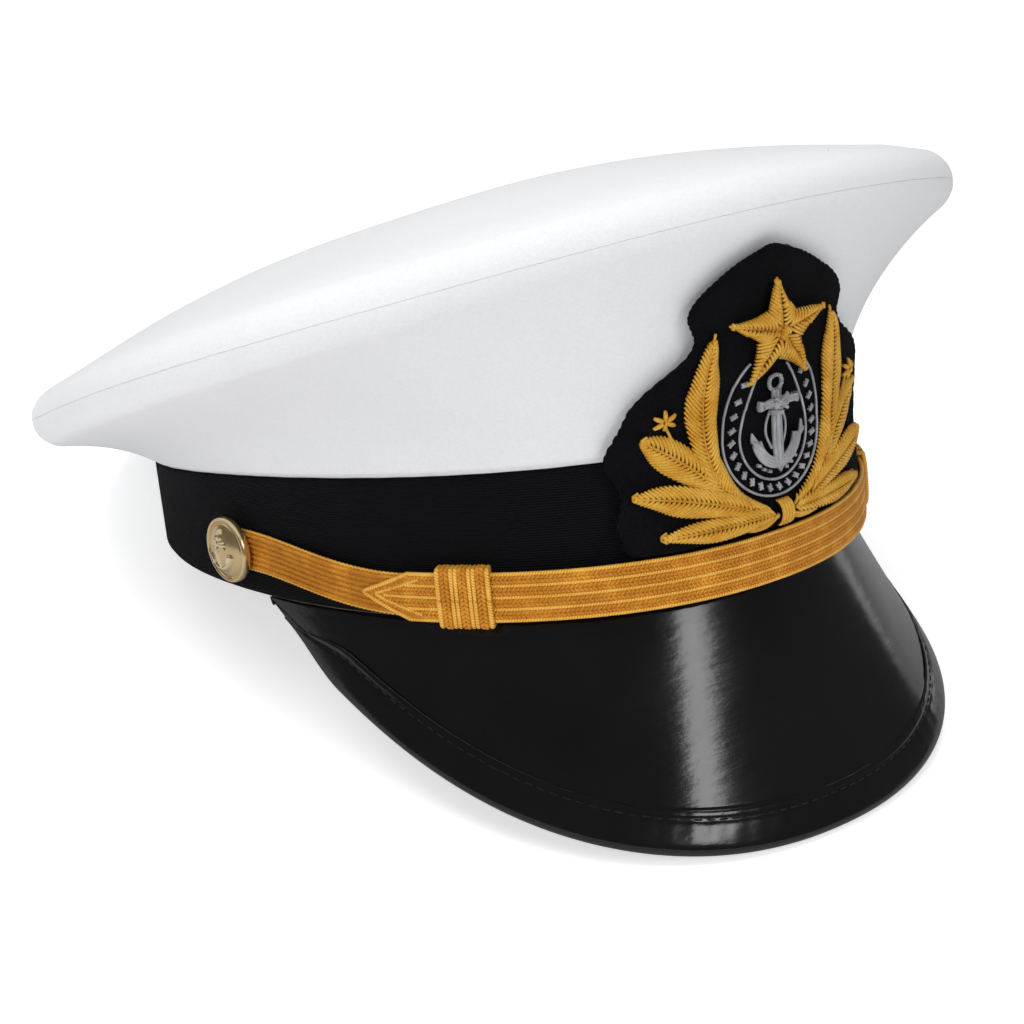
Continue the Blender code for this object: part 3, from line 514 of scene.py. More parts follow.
def makeBrass():
    # satin brass that darkens in its hollows and shines on its edges
    paint, tree, shader = startMaterial("satinBrass", 0.24, 0.92)
    grain = place(tree, grainGroup, 260.0, 2600.0, 900.0)
    raised = tree.nodes.new("ShaderNodeAttribute")
    raised.attribute_name = "relief"
    worn = maths(tree, "MULTIPLY_ADD", raised.outputs["Fac"], 0.55, 0.35)
    base = colourRamp(tree, worn, [(0.0, (0.42, 0.24, 0.075)), (0.42, (0.86, 0.66, 0.36)),
                                   (0.9, (0.98, 0.86, 0.58))])
    link(tree, mixColour(tree, maths(tree, "MULTIPLY", grain[0], 0.35), base, (0.80, 0.58, 0.27)),
         shader.inputs["Base Color"])
    bump(tree, shader, maths(tree, "MULTIPLY_ADD", grain[1], 0.6, grain[0]), 0.04, 0.00006)
    rampRoughness(tree, shader, grain[1], 0.18, 0.30)
    return paint


blackMohair, patentLeather, liningSatin, satinBrass = makeMohair(), makePatent(), makeSatin(), makeBrass()
print("materials made")


# geometry node trees: cords swept along paths, and grains set along paths
def startTree(name, inputs):
    tree = bpy.data.node_groups.new(name, "GeometryNodeTree")
    tree.interface.new_socket("Geometry", in_out="INPUT", socket_type="NodeSocketGeometry")
    for label, kind in inputs:
        tree.interface.new_socket(label, in_out="INPUT", socket_type="NodeSocket" + kind)
    tree.interface.new_socket("Geometry", in_out="OUTPUT", socket_type="NodeSocketGeometry")
    return tree, tree.nodes.new("NodeGroupInput"), tree.nodes.new("NodeGroupOutput")


def addNode(tree, kind, **links):
    node = tree.nodes.new(kind)
    for label, value in links.items():
        slot = node.inputs[label.replace("_", " ")]
        if isinstance(value, bpy.types.NodeSocket):
            tree.links.new(value, slot)
        else:
            slot.default_value = value
    return node


def readAttribute(tree, name, kind="FLOAT"):
    node = tree.nodes.new("GeometryNodeInputNamedAttribute")
    node.data_type = kind
    node.inputs["Name"].default_value = name
    return node.outputs["Attribute"]


def finishTree(tree, out, geometry, material):
    shaded = addNode(tree, "GeometryNodeSetShadeSmooth", Geometry=geometry)
    whole = addNode(tree, "GeometryNodeRealizeInstances", Geometry=shaded.outputs[0])
    painted = addNode(tree, "GeometryNodeSetMaterial", Geometry=whole.outputs[0], Material=material)
    tree.links.new(painted.outputs[0], out.inputs[0])


def makeCordTree():
    # sweeps a round or flattened section along every path; the points carry 'thick' and 'outward'
    tree, into, out = startTree("cordAlongPath", [("Sides", "Int"), ("Flatness", "Float"),
                                                  ("Material", "Material")])
    curve = addNode(tree, "GeometryNodeMeshToCurve", Mesh=into.outputs["Geometry"])
    facing = addNode(tree, "GeometryNodeSetCurveNormal", Curve=curve.outputs[0])
    facing.mode = "FREE"
    tree.links.new(readAttribute(tree, "outward", "FLOAT_VECTOR"), facing.inputs["Normal"])
    length = tree.nodes.new("GeometryNodeSplineParameter").outputs["Length"]
    stored = addNode(tree, "GeometryNodeStoreNamedAttribute", Geometry=facing.outputs[0], Name="cordLength")
    tree.links.new(length, stored.inputs["Value"])
    circle = addNode(tree, "GeometryNodeCurvePrimitiveCircle", Resolution=into.outputs["Sides"], Radius=1.0)
    stretch = tree.nodes.new("ShaderNodeCombineXYZ")
    tree.links.new(into.outputs["Flatness"], stretch.inputs[0])
    stretch.inputs[1].default_value = 1.0
    stretch.inputs[2].default_value = 1.0
    squashed = addNode(tree, "GeometryNodeTransform", Geometry=circle.outputs[0], Scale=stretch.outputs[0])
    around = addNode(tree, "GeometryNodeStoreNamedAttribute", Geometry=squashed.outputs[0],
                     Name="cordAround")
    around.data_type = "FLOAT_VECTOR"
    tree.links.new(tree.nodes.new("GeometryNodeInputPosition").outputs[0], around.inputs["Value"])
    swept = addNode(tree, "GeometryNodeCurveToMesh", Curve=stored.outputs[0],
                    Profile_Curve=around.outputs[0], Fill_Caps=True,
                    Scale=readAttribute(tree, "thick"))
    split = tree.nodes.new("ShaderNodeSeparateXYZ")
    tree.links.new(readAttribute(tree, "cordAround", "FLOAT_VECTOR"), split.inputs[0])
    join = tree.nodes.new("ShaderNodeCombineXYZ")
    tree.links.new(split.outputs[0], join.inputs[0])
    tree.links.new(split.outputs[1], join.inputs[1])
    tree.links.new(readAttribute(tree, "cordLength"), join.inputs[2])
    marked = addNode(tree, "GeometryNodeStoreNamedAttribute", Geometry=swept.outputs[0], Name="cordPlace")
    marked.data_type = "FLOAT_VECTOR"
    tree.links.new(join.outputs[0], marked.inputs["Value"])
    finishTree(tree, out, marked.outputs[0], into.outputs["Material"])
    return tree


def makeGrainTree():
    # sets small plump grains along every path, each turned by 'slant' about the outward direction
    tree, into, out = startTree("grainsAlongPath", [("Spacing", "Float"), ("Length", "Float"),
                                                    ("Width", "Float"), ("Height", "Float"),
                                                    ("Unevenness", "Float"), ("Seed", "Int"),
                                                    ("Segments", "Int"), ("Rings", "Int"),
                                                    ("Material", "Material")])
    curve = addNode(tree, "GeometryNodeMeshToCurve", Mesh=into.outputs["Geometry"])
    points = addNode(tree, "GeometryNodeResampleCurve", Curve=curve.outputs[0])
    points.mode = "LENGTH"
    tree.links.new(into.outputs["Spacing"], points.inputs["Length"])
    ball = addNode(tree, "GeometryNodeMeshUVSphere", Segments=into.outputs["Segments"],
                   Rings=into.outputs["Rings"], Radius=0.5)
    onSide = addNode(tree, "GeometryNodeTransform", Geometry=ball.outputs[0])
    onSide.inputs["Rotation"].default_value = (0, math.pi / 2, 0)
    placeStore = addNode(tree, "GeometryNodeStoreNamedAttribute", Geometry=onSide.outputs[0],
                         Name="grainSpot")
    placeStore.data_type = "FLOAT_VECTOR"
    tree.links.new(tree.nodes.new("GeometryNodeInputPosition").outputs[0], placeStore.inputs["Value"])
    size = tree.nodes.new("ShaderNodeCombineXYZ")
    for k, label in enumerate(("Length", "Width", "Height")):
        tree.links.new(into.outputs[label], size.inputs[k])
    shaped = addNode(tree, "GeometryNodeTransform", Geometry=placeStore.outputs[0], Scale=size.outputs[0])
    facing = tree.nodes.new("FunctionNodeAxesToRotation")
    facing.primary_axis, facing.secondary_axis = "Z", "X"
    tree.links.new(readAttribute(tree, "outward", "FLOAT_VECTOR"), facing.inputs[0])
    tree.links.new(tree.nodes.new("GeometryNodeInputTangent").outputs[0], facing.inputs[1])
    jitter = tree.nodes.new("FunctionNodeRandomValue")
    jitter.data_type = "FLOAT"
    low = addNode(tree, "ShaderNodeMath")
    low.operation = "MULTIPLY"
    low.inputs[1].default_value = -1.0
    tree.links.new(into.outputs["Unevenness"], low.inputs[0])
    tree.links.new(low.outputs[0], jitter.inputs[2])
    tree.links.new(into.outputs["Unevenness"], jitter.inputs[3])
    tree.links.new(into.outputs["Seed"], jitter.inputs["Seed"])
    lean = addNode(tree, "ShaderNodeMath")
    lean.operation = "ADD"
    tree.links.new(jitter.outputs[1], lean.inputs[0])
    tree.links.new(readAttribute(tree, "slant"), lean.inputs[1])
    about = tree.nodes.new("FunctionNodeAxisAngleToRotation")
    about.inputs[0].default_value = (0, 0, 1)
    tree.links.new(lean.outputs[0], about.inputs[1])
    turned = addNode(tree, "FunctionNodeRotateRotation", Rotation=facing.outputs[0],
                     Rotate_By=about.outputs[0])
    turned.rotation_space = "LOCAL"
    grow = addNode(tree, "ShaderNodeMath")
    grow.operation = "ADD"
    grow.inputs[0].default_value = 1.0
    tree.links.new(jitter.outputs[1], grow.inputs[1])
    made = addNode(tree, "GeometryNodeInstanceOnPoints", Points=points.outputs[0],
                   Instance=shaped.outputs[0], Rotation=turned.outputs[0],
                   Scale=grow.outputs[0])
    finishTree(tree, out, made.outputs[0], into.outputs["Material"])
    return tree


cordTree, grainTree = makeCordTree(), makeGrainTree()


def grow(name, tree, paths, **inputs):
    # a plain mesh from paths, each a dict of points and outward directions in cap space, thick and slant
    points, edges, outward, thick, slant = [], [], [], [], []
    for path in paths:
        p = toTable(path["points"])
        n, first = len(p), sum(len(q) for q in points)
        points.append(p)
        loop = path.get("closed", False)
        edges += [(first + i, first + (i + 1) % n) for i in range(n if loop else n - 1)]
        outward.append(np.broadcast_to(np.asarray(path["outward"], float), p.shape) @ capTurn.T)
        thick.append(np.broadcast_to(np.asarray(path.get("thick", 0.0005), float), (n,)))
        slant.append(np.broadcast_to(np.asarray(path.get("slant", 0.0), float), (n,)))
    mesh = bpy.data.meshes.new(name + "Paths")
    mesh.from_pydata(np.concatenate(points).tolist(), edges, [])
    for label, kind, values in (("outward", "FLOAT_VECTOR", outward), ("thick", "FLOAT", thick),
                                ("slant", "FLOAT", slant)):
        held = mesh.attributes.new(label, kind, "POINT")
        held.data.foreach_set("vector" if kind == "FLOAT_VECTOR" else "value",
                              np.concatenate(values).astype(np.float32).ravel())
    guide = bpy.data.objects.new(name + "Paths", mesh)
    bpy.context.scene.collection.objects.link(guide)
    modifier = guide.modifiers.new("grow", "NODES")
    modifier.node_group = tree
    sockets = {s.name: s.identifier for s in tree.interface.items_tree if s.in_out == "INPUT"}
    for label, value in inputs.items():
        modifier[sockets[label]] = value
    bpy.context.view_layer.update()
    grown = bpy.data.meshes.new_from_object(guide.evaluated_get(bpy.context.evaluated_depsgraph_get()))
    bpy.data.objects.remove(guide)
    grown.name = name
    obj = bpy.data.objects.new(name, grown)
    bpy.context.scene.collection.objects.link(obj)
    return obj


def joinPieces(name, pieces):
    # one object from several, all at the origin
    bpy.ops.object.select_all(action="DESELECT")
    for piece in pieces:
        piece.select_set(True)
    bpy.context.view_layer.objects.active = pieces[0]
    bpy.ops.object.join()
    pieces[0].name = name
    pieces[0].data.name = name
    return pieces[0]


def sit(obj, body, slotName, *replaced):
    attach(obj, body)
    if replaced:
        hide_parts(*replaced)
    return obj


# band
bandCloth = {"around": 300, "rows": 26}
t = ringAngles(bandCloth["around"])
k = np.linspace(0, 1, bandCloth["rows"] + 1)
low, high = 0.0005, bandTop(t)[:, None] + 0.0002
z = low + (high - low) * k
# the cloth turns in over the top and bottom edges of the stiff core
tuck = 0.0007 * np.clip((k - 0.965) / 0.035, 0, 1) ** 2 + 0.0006 * np.clip((0.03 - k) / 0.03, 0, 1) ** 2
rows = onBand(t[:, None], -tuck * np.ones_like(z), z)
bandCover = gridObject("bandCover", rows, blackMohair, closed=True, thick=0.0008)
sit(bandCover, "cap", "mohair", "band_cover")

sweat = {"inset": 0.0052, "thick": 0.0011, "foot": 0.0004, "short": 0.003}
t = ringAngles(280)
k = np.linspace(0, 1, 19)
z = sweat["foot"] + (bandTop(t)[:, None] - sweat["short"] - sweat["foot"]) * k
swell = 0.0006 * np.sin(np.pi * k) + 0.00035 * hashNoise(9 * t)[:, None] * np.sin(np.pi * k)
rows = onBand(t[:, None], -sweat["inset"] - swell, z)
sweatband = gridObject("sweatLeatherBand", rows, sweatLeather, closed=True, thick=sweat["thick"])
sit(sweatband, "cap", "leather", "sweatband")


def ringPath(count, out, zOf, start=-math.pi, stop=math.pi):
    q = np.linspace(start, stop, count)
    return {"points": onBand(q, out, zOf(q)), "outward": bandNormal(q)}


inward = []
for level in (0.0024, 0.0040):
    path = ringPath(400, -sweat["inset"] - sweat["thick"] - 0.0002, lambda q: 0 * q + level)
    inward.append({"points": path["points"], "outward": -path["outward"]})
sweatStitches = grow("sweatStitches", grainTree, inward, Spacing=0.0030, Length=0.0021, Width=0.00045,
                     Height=0.0004, Unevenness=0.04, Seed=3,
                     Segments=6, Rings=4, Material=tanThread)
sit(sweatStitches, "cap", "leather")
print("band made")

# crown
crownSeam = {"around": 360}


def crownRipple(t, rows, seed):
    # the cloth's slight unevenness: faint pulls at the foot and soft hollows higher up
    n = rows.shape[-2]
    v = np.linspace(0, 1, n)
    foot = np.exp(-((v - 0.06) / 0.07) ** 2) * 0.00018 * np.sin(57 * t[:, None] + 2 * np.sin(11 * t[:, None] + seed))
    soft = 0.00035 * np.sin(5 * t[:, None] + 3 * v + seed) * np.sin(np.pi * np.clip(v * 1.3, 0, 1))
    pucker = 0.00010 * np.sin(150 * t[:,
                                      None] + 3 * np.sin(9 * t[:, None])) * np.exp(-((v - 0.93) / 0.05) ** 2)
    lift = (foot + soft + pucker)[..., None]
    return rows + lift * flatNormal(rim, t)[:, None, :]


halfGap = 0.00008 / 2 / crown["halfWidth"]
for side, first in (("Left", halfGap), ("Right", -math.pi + halfGap)):
    last = first + math.pi - 2 * halfGap
    t = np.linspace(first, last, crownSeam["around"] // 2 + 1)
    t = np.sort(np.concatenate([t, [first + 0.0007, last - 0.0007]]))
    rows = crownRipple(t, sideProfile(t, 30, 14), 1.3 if side == "Left" else 4.1)
    normal = flatNormal(rim, t)[:, None, :]
    edge = rows[:, -1:, :]
    into = np.concatenate([edge + np.array([0, 0, 0.00003]) - 0.0001 * normal,
                           edge + np.array([0, 0, 0.00004]) - 0.0005 * normal], 1)
    rows = np.concatenate([rows[:, :-1], 0.94 * edge + 0.06 * rows[:, -2:-1], edge, into], 1)
    piece = gridObject("crownSide" + side, rows, whiteCotton, thick=crown["clothThick"])
    sit(piece, "cap", "cotton", "crown_side_" + side.lower())

t = ringAngles(crownSeam["around"])
rows = topProfile(t)
v = np.arange(rows.shape[1])
pucker = 0.00012 * np.sin(150 * t[:, None] + 3 * np.sin(9 * t[:, None])) * np.exp(-((v - 3) / 4.0) ** 2)
s = np.clip((rows.shape[1] - v) / 26, 0, 1)
sag = 0.0005 * np.sin(3 * t[:, None] + 1.1) * (s * (1 - s) * 4)
rows = rows + pucker[..., None] * flatNormal(rim, t)[:, None, :] + sag[..., None] * np.array([0, 0, 1.0])
normal = flatNormal(rim, t)[:, None, :]
edge = rows[:, :1, :]
into = np.concatenate([edge - np.array([0, 0, 0.00004]) - 0.0005 * normal,
                       edge - np.array([0, 0, 0.00003]) - 0.0001 * normal], 1)
rows = np.concatenate([into, edge, 0.94 * edge + 0.06 * rows[:, 1:2], rows[:, 1:]], 1)
middle = np.array([0, crown["setback"], crown["height"] + crown["roll"] + crown["dome"]])
crownTop = gridObject("crownTop", rows, whiteCotton, closed=True, pole=middle, thick=crown["clothThick"])
sit(crownTop, "cap", "cotton", "crown_top")

lining = {"top": 0.0640, "thick": 0.0006, "pleats": 28}
t = ringAngles(280)
foot = onBand(t, -0.0013 - 0.0016 - 0.0004, bandTop(t) - 0.0018)
shoulder = bandTop(t) + 0.004
s = np.concatenate([[1.0], np.linspace(0.985, 0.05, 26)])
z = lining["top"] + (shoulder[:, None] - lining["top"]) * s ** 3.2
z[:, 0] = foot[:, 2]
z = z - 0.0008 * np.abs(np.sin(lining["pleats"] * t / 2))[:, None] * np.sin(np.pi * s) ** 0.6
rows = np.stack([foot[:, :1] * s, foot[:, 1:2] * s, z], -1)
crownLining = gridObject("crownLining", rows, liningSatin, closed=True,
                         pole=np.array([0, 0, lining["top"]]), thick=lining["thick"])
sit(crownLining, "cap", "satin", "crown_lining")
print("crown made")

# visor
visor = {"halfAngle": math.radians(85.5), "root": -0.0015, "depth": 0.1189, "slope": math.radians(25.7),
         "sidePower": 2.17,
         "tipPower": 3.40, "shell": 0.0010, "core": 0.0012, "lining": 0.0008, "binding": 0.0021,
         "gap": 0.0004}
corner = onBand(visor["halfAngle"], visor["root"], -visor["gap"])


def visorOutline(u):
    s, c = np.sin(u * math.pi / 2), np.cos(u * math.pi / 2)
    x = corner[0] * np.sign(s) * np.abs(s) ** (2 / visor["sidePower"])
    y = corner[1] - visor["depth"] * np.abs(c) ** (2 / visor["tipPower"])
    return np.stack([x, y, corner[2] - (corner[1] - y) * math.tan(visor["slope"])], -1)


def visorGrid(columns, steps, over=0.0):
    # board points [column, step, 3] and their upward normals, from the band out; over carries them past the boards' edge
    u = 0.985 * np.sin(math.pi / 2 * np.linspace(-1, 1, columns))
    inner = onBand(u * visor["halfAngle"], visor["root"], -visor["gap"] + 0 * u)
    outer = visorOutline(u)
    run = outer - inner
    size = np.linalg.norm(run, axis=-1, keepdims=True)
    outer = outer - run / size * np.minimum(2.3 * visor["binding"], 0.6 * size) + over * run / size
    k = (np.asarray(steps)[:, None])
    grid = inner[:, None, :] + (outer - inner)[:, None, :] * k
    along = np.gradient(grid, axis=0)
    down = np.broadcast_to((outer - inner)[:, None, :], grid.shape)
    return grid, unit(np.cross(down, along))

grid, normal = visorGrid(221, np.concatenate([np.linspace(0, 0.80, 26), np.linspace(0.805, 1, 40)]))
toEdge = np.linalg.norm(grid[:, -1:, :] - grid, axis=-1)
# a pressed welt line inside the bound edge, and the board's slight waviness
welt = 0.00038 * np.exp(-((toEdge - 0.0062) / 0.00042) ** 2) * np.clip(toEdge.max(1) / 0.012, 0, 1)[:, None]
wave = 0.00022 * np.sin(95 * grid[..., 0] + 60 * grid[..., 1]) * np.sin(70 * grid[..., 0] - 3)
turned = 0.985 * np.sin(math.pi / 2 * np.linspace(-1, 1, 221)) * visor["halfAngle"]
root = onBand(turned, visor["root"] - 0.0022, -visor["gap"] - 0.0002 + 0 * turned)[:, None, :]
visorShell = gridObject("visorShell", np.concatenate([root, grid + (welt + wave)[..., None] * normal], 1),
                        patentLeather, thick=visor["shell"], offset=1.0)
sit(visorShell, "cap", "patent", "visor_shell")

under = visor["shell"] + visor["core"] + 0.0006
visorLining = gridObject("visorLining", grid - under * normal, visorUnder, thick=visor["lining"],
                         offset=1.0)
sit(visorLining, "cap", "visor_cloth", "visor_lining")

# the rolled binding: a folded strip stitched through the board's edge
stack = under + visor["lining"]
binding = {"pitch": 0.0031}
edge = grid[:, -1] - normal[:, -1] * stack / 2
alongEdge = unit(np.gradient(edge, axis=0))
down = unit(grid[:, -1] - grid[:, -2])
away = unit(down - alongEdge * (down * alongEdge).sum(-1, keepdims=True))
rise = unit(np.cross(away, alongEdge))
centre = edge + away * (visor["binding"] + visor["gap"])
room = np.clip((toEdge.max(1) - 0.0015) / 0.0075, 0.02, 1)
h = stack / 2
section = [(-2.5 - 6.0, h * 1000 + 0.03), (-2.5 - 6.05, h * 1000 + 0.25), (-2.5 - 5.7, h * 1000 + 0.42),
           (-2.5 - 4.6, h * 1000 + 0.40),
           (-2.5 - 4.0, h * 1000 + 0.16), (-2.5 - 3.4, h * 1000 + 0.42), (-2.5 - 2.0, h * 1000 + 0.52),
           (-2.2, h * 1000 + 0.56), (-0.9, 2.32)]
section += [(1.85 * math.cos(a) - 0.1, 2.25 * math.sin(a)) for a in np.radians(np.linspace(82, -82, 17))]
section += [(-0.9, -2.30), (-2.4, -h * 1000 - 0.45), (-2.5 - 2.2, -h * 1000 - 0.40),
            (-2.5 - 4.4, -h * 1000 - 0.35), (-2.5 - 4.6, -h * 1000 - 0.04),
            (-2.3, -h * 1000 - 0.03), (-2.25, 0), (-2.3, h * 1000 + 0.03)]
section = np.array(section) / 1000
walked = np.concatenate([[0], np.cumsum(np.linalg.norm(np.diff(edge, axis=0), axis=-1))])
taper = smooth(np.minimum(walked, walked[-1] - walked) / 0.026)
roll = (0.06 + 0.94 * taper)[:, None]
room = np.minimum(room, 0.02 + 0.98 * taper)
out = section[None, :, 0] + 0.0025
out = np.where(out > 0.0003, 0.0003 + (out - 0.0003) * roll, 0.0003 + (out - 0.0003) * room[:, None])
tall = np.clip(section[None, :, 1], -h, h) + (section[None, :,
                                                      1] - np.clip(section[None, :, 1], -h, h)) * roll
crinkle = 0.00005 * np.sin(430 * np.arange(len(centre))[:,
                                                        None] / 221 + 5 * section[None, :, 1] * 1000) * (section[None, :, 0] < -0.0015)
rows = edge[:, None, :] + out[..., None] * away[:, None, :] + (tall + crinkle)[..., None] * rise[:, None, :]
rows = rows[:, ::-1]
visorBinding = gridObject("visorBinding", rows, patentLeather, closedAcross=True)
mesh = visorBinding.data
n, m = rows.shape[:2]
ends = [list(range(m))[::-1], [(n - 1) * m + j for j in range(m)]]
bm = bmesh.new()
bm.from_mesh(mesh)
bm.verts.ensure_lookup_table()
for loop in ends:
    bm.faces.new([bm.verts[i] for i in loop])
bmesh.ops.recalc_face_normals(bm, faces=bm.faces)
bm.to_mesh(mesh)
bm.free()
sit(visorBinding, "cap", "patent", "visor_binding")

stitchLine = centre + (-0.0025 - 0.0040) * away * np.clip(room, 0.3, 1)[:, None] + (h + 0.00030) * rise
keep = room > 0.85
visorStitches = grow("visorStitches", grainTree, [{"points": stitchLine[keep], "outward": rise[keep]}],
                     Spacing=binding["pitch"], Length=0.0023,
                     Width=0.00055, Height=0.00045, Unevenness=0.03, Seed=5, Segments=6, Rings=5,
                     Material=blackThread)
sit(visorStitches, "cap", "patent")
print("visor made")

# chinstraps
strap = {"overWidth": 0.0122, "underWidth": 0.0105, "overThick": 0.0012, "underThick": 0.0010,
         "standoff": 0.0015,
         "buttonHeight": 0.0122, "dropFrom": math.radians(58), "keeperAngle": math.radians(49),
         "tipAngle": math.radians(64),
         "tipRun": math.radians(7.0), "buttonAngle": math.radians(88.5)}
strap["frontHeight"] = strap["overWidth"] / 2 + 0.0005
underIn = strap["standoff"]
overIn = underIn + strap["underThick"] + 0.0003
strapOut = overIn + strap["overThick"]


def strapMiddle(t):
    drop = smooth((np.abs(t) - strap["dropFrom"]) / (strap["buttonAngle"] - strap["dropFrom"] - 0.05))
    return strap["frontHeight"] + (strap["buttonHeight"] - strap["frontHeight"]) * drop


def strapClose(t):
    return 1 - smooth((np.abs(t) - strap["tipAngle"] - 0.02) / (strap["buttonAngle"] - strap["tipAngle"] - 0.12))


def underOut(t):
    return np.where(t > -strap["tipAngle"], underIn, 0.0005 + (underIn - 0.0005) * strapClose(t))


def overOut(t):
    return np.where(t < strap["tipAngle"], overIn, 0.0005 + (overIn - 0.0005) * strapClose(t))


def onStrap(t, outAt, dz, out):
    return {"points": onBand(t, outAt(t) + out, strapMiddle(t) + dz), "outward": bandNormal(t)}


def strapBase(name, t, outAt, halfWidth, thick, paint):
    k = np.linspace(-1, 1, 9)
    ring = [(a, thick * 0.50) for a in k * 0.96] + [(0.985, thick * 0.3),
                                                    (0.985,
                                                     thick * 0.15)] + [(a, 0.00005) for a in -k * 0.96] + [(-0.985, thick * 0.15), (-0.985, thick * 0.3)]
    a, o = np.array(ring).T
    rows = onBand(t[:, None], outAt(t)[:, None] + o,
                  strapMiddle(t)[:, None] + a * (halfWidth(t)[:,
                                                              None] if callable(halfWidth) else halfWidth))
    obj = gridObject(name, rows, paint, closedAcross=True)
    bm = bmesh.new()
    bm.from_mesh(obj.data)
    bm.verts.ensure_lookup_table()
    n, m = rows.shape[:2]
    bm.faces.new([bm.verts[j] for j in range(m)])
    bm.faces.new([bm.verts[(n - 1) * m + j] for j in range(m)])
    bmesh.ops.recalc_face_normals(bm, faces=bm.faces)
    bm.to_mesh(obj.data)
    bm.free()
    return obj


braidBase = grained("braidBase", (0.46, 0.18, 0.012), (0.74, 0.33, 0.030), 90.0, 1800.0, 600.0, 0.6, 0.5)

# the broad strap: edge cords, smooth ridge cords and rows of chevron braid between them
overRows = {"edge": 0.00048, "ridge": 0.00044, "ridgeAt": (-0.00285, 0.0, 0.00285),
            "braidAt": (-0.00427, -0.00142, 0.00142, 0.00427),
            "lean": math.radians(36), "pitch": 0.00105}
halfOver = strap["overWidth"] / 2
tipStart, tipFull = -strap["tipAngle"], -strap["tipAngle"] + strap["tipRun"]
overEnd = strap["buttonAngle"] + 0.0075 / band["halfLength"]


def overHalf(t):
    return halfOver * (0.06 + 0.94 * np.clip((t - tipStart) / strap["tipRun"], 0, 1))


def rowStart(dz):
    return tipStart + strap["tipRun"] * np.clip((abs(dz) + 0.0012) / halfOver, 0, 1)


t = np.concatenate([np.linspace(tipStart, tipFull, 16), np.linspace(tipFull + 0.01, overEnd, 240)])
pieces = [strapBase("strapOver", t, overOut, overHalf, strap["overThick"], braidBase)]
cords = []
for sign in (-1, 1):
    t = np.linspace(tipFull, overEnd, 320)
    cords.append({**onStrap(t, overOut, sign * (halfOver - overRows["edge"]), 0.00062),
                  "thick": overRows["edge"]})
for dz in overRows["ridgeAt"]:
    t = np.linspace(rowStart(dz) + 0.035, overEnd, 320)
    cords.append({**onStrap(t, overOut, dz, 0.00064), "thick": overRows["ridge"]})
# the pointed end: two folds, one inside the other
for inset, size in ((0.0, 0.00050), (0.0022, 0.00044)):
    k = np.linspace(-1, 1, 41)
    bend = np.sqrt(k * k + 0.004) / math.sqrt(1.004)
    t = tipStart + inset / 0.094 * 1.3 + (tipFull - tipStart) * bend
    dz = k * (halfOver - overRows["edge"] - inset * 0.55)
    cords.append({"points": onBand(t, overOut(t) + 0.00072, strapMiddle(t) + dz), "outward": bandNormal(t),
                  "thick": size})
pieces.append(grow("overCords", cordTree, cords, Sides=7, Flatness=1.0, Material=cordGold))
braids = []
for dz in overRows["braidAt"]:
    for side in (-1, 1):
        t = np.linspace(rowStart(dz) + 0.012, overEnd, 320)
        braids.append({**onStrap(t, overOut, dz + side * 0.00050, 0.00060),
                       "slant": side * overRows["lean"]})
for side in (-1, 1):
    k = np.linspace(0.10, 1, 24)
    t = tipStart + 0.0155 + (tipFull - tipStart) * k
    dz = side * k * (halfOver - 0.0017)
    braids.append({"points": onBand(t, overOut(t) + 0.00062, strapMiddle(t) + dz),
                   "outward": bandNormal(t), "slant": -side * 0.9})
pieces.append(grow("overBraid", grainTree, braids, Spacing=overRows["pitch"], Length=0.00170,
                   Width=0.00084, Height=0.00120, Unevenness=0.10, Seed=11,
                   Segments=6, Rings=5, Material=braidGold))
strapOver = joinPieces("strapOver", pieces)
sit(strapOver, "cap", "braid", "strap_over")

# the narrow strap: seven rows of beaded braid with looped edges
underRows = {"count": 7, "pitch": 0.00092, "edge": 0.00030}
halfUnder = strap["underWidth"] / 2
underStart, underEnd = -strap["buttonAngle"] - 0.0075 / band["halfLength"], strap["keeperAngle"] + 0.16
t = np.linspace(underStart, underEnd, 240)
pieces = [strapBase("strapUnder", t, underOut, halfUnder * 0.97, strap["underThick"], braidBase)]
braids = []
step = (2 * halfUnder - 0.0011) / underRows["count"]
for k in range(underRows["count"]):
    dz = -halfUnder + 0.00055 + step * (k + 0.5)
    braids.append({**onStrap(np.linspace(underStart, underEnd, 320), underOut, dz, 0.00052),
                   "slant": (1 if k % 2 else -1) * math.radians(30)})
pieces.append(grow("underBraid", grainTree, braids, Spacing=underRows["pitch"], Length=0.00145,
                   Width=0.00070, Height=0.00150, Unevenness=0.12, Seed=17,
                   Segments=6, Rings=4, Material=braidGold))
cords = []
for side in (-1, 1):
    t = np.linspace(underStart, underEnd, 1300)
    loops = 0.00014 * np.sin(np.arange(1300) * 1.15)
    cords.append({**onStrap(t, underOut, side * (halfUnder - 0.0003) + side * loops, 0.0005),
                  "thick": underRows["edge"]})
pieces.append(grow("underCords", cordTree, cords, Sides=5, Flatness=1.0, Material=cordGold))
strapUnder = joinPieces("strapUnder", pieces)
sit(strapUnder, "cap", "braid", "strap_under")
print("straps made")

# keepers: braid wound round both straps
keeper = {"length": 0.0140, "wall": 0.0009, "clearance": 0.0004,
          "height": strap["overWidth"] + 2 * 0.0004 + 0.0020,
          "layout": (("edge", 1.45), ("braid", 2.05), ("cord", 1.10), ("cord", 1.10), ("braid", 2.05),
                     ("cord", 1.10), ("cord", 1.10), ("braid", 2.05), ("edge", 1.45))}
keeperIn = underIn - keeper["clearance"] - keeper["wall"] + 0.0002
keeperOut = strapOut + keeper["clearance"] + keeper["wall"]


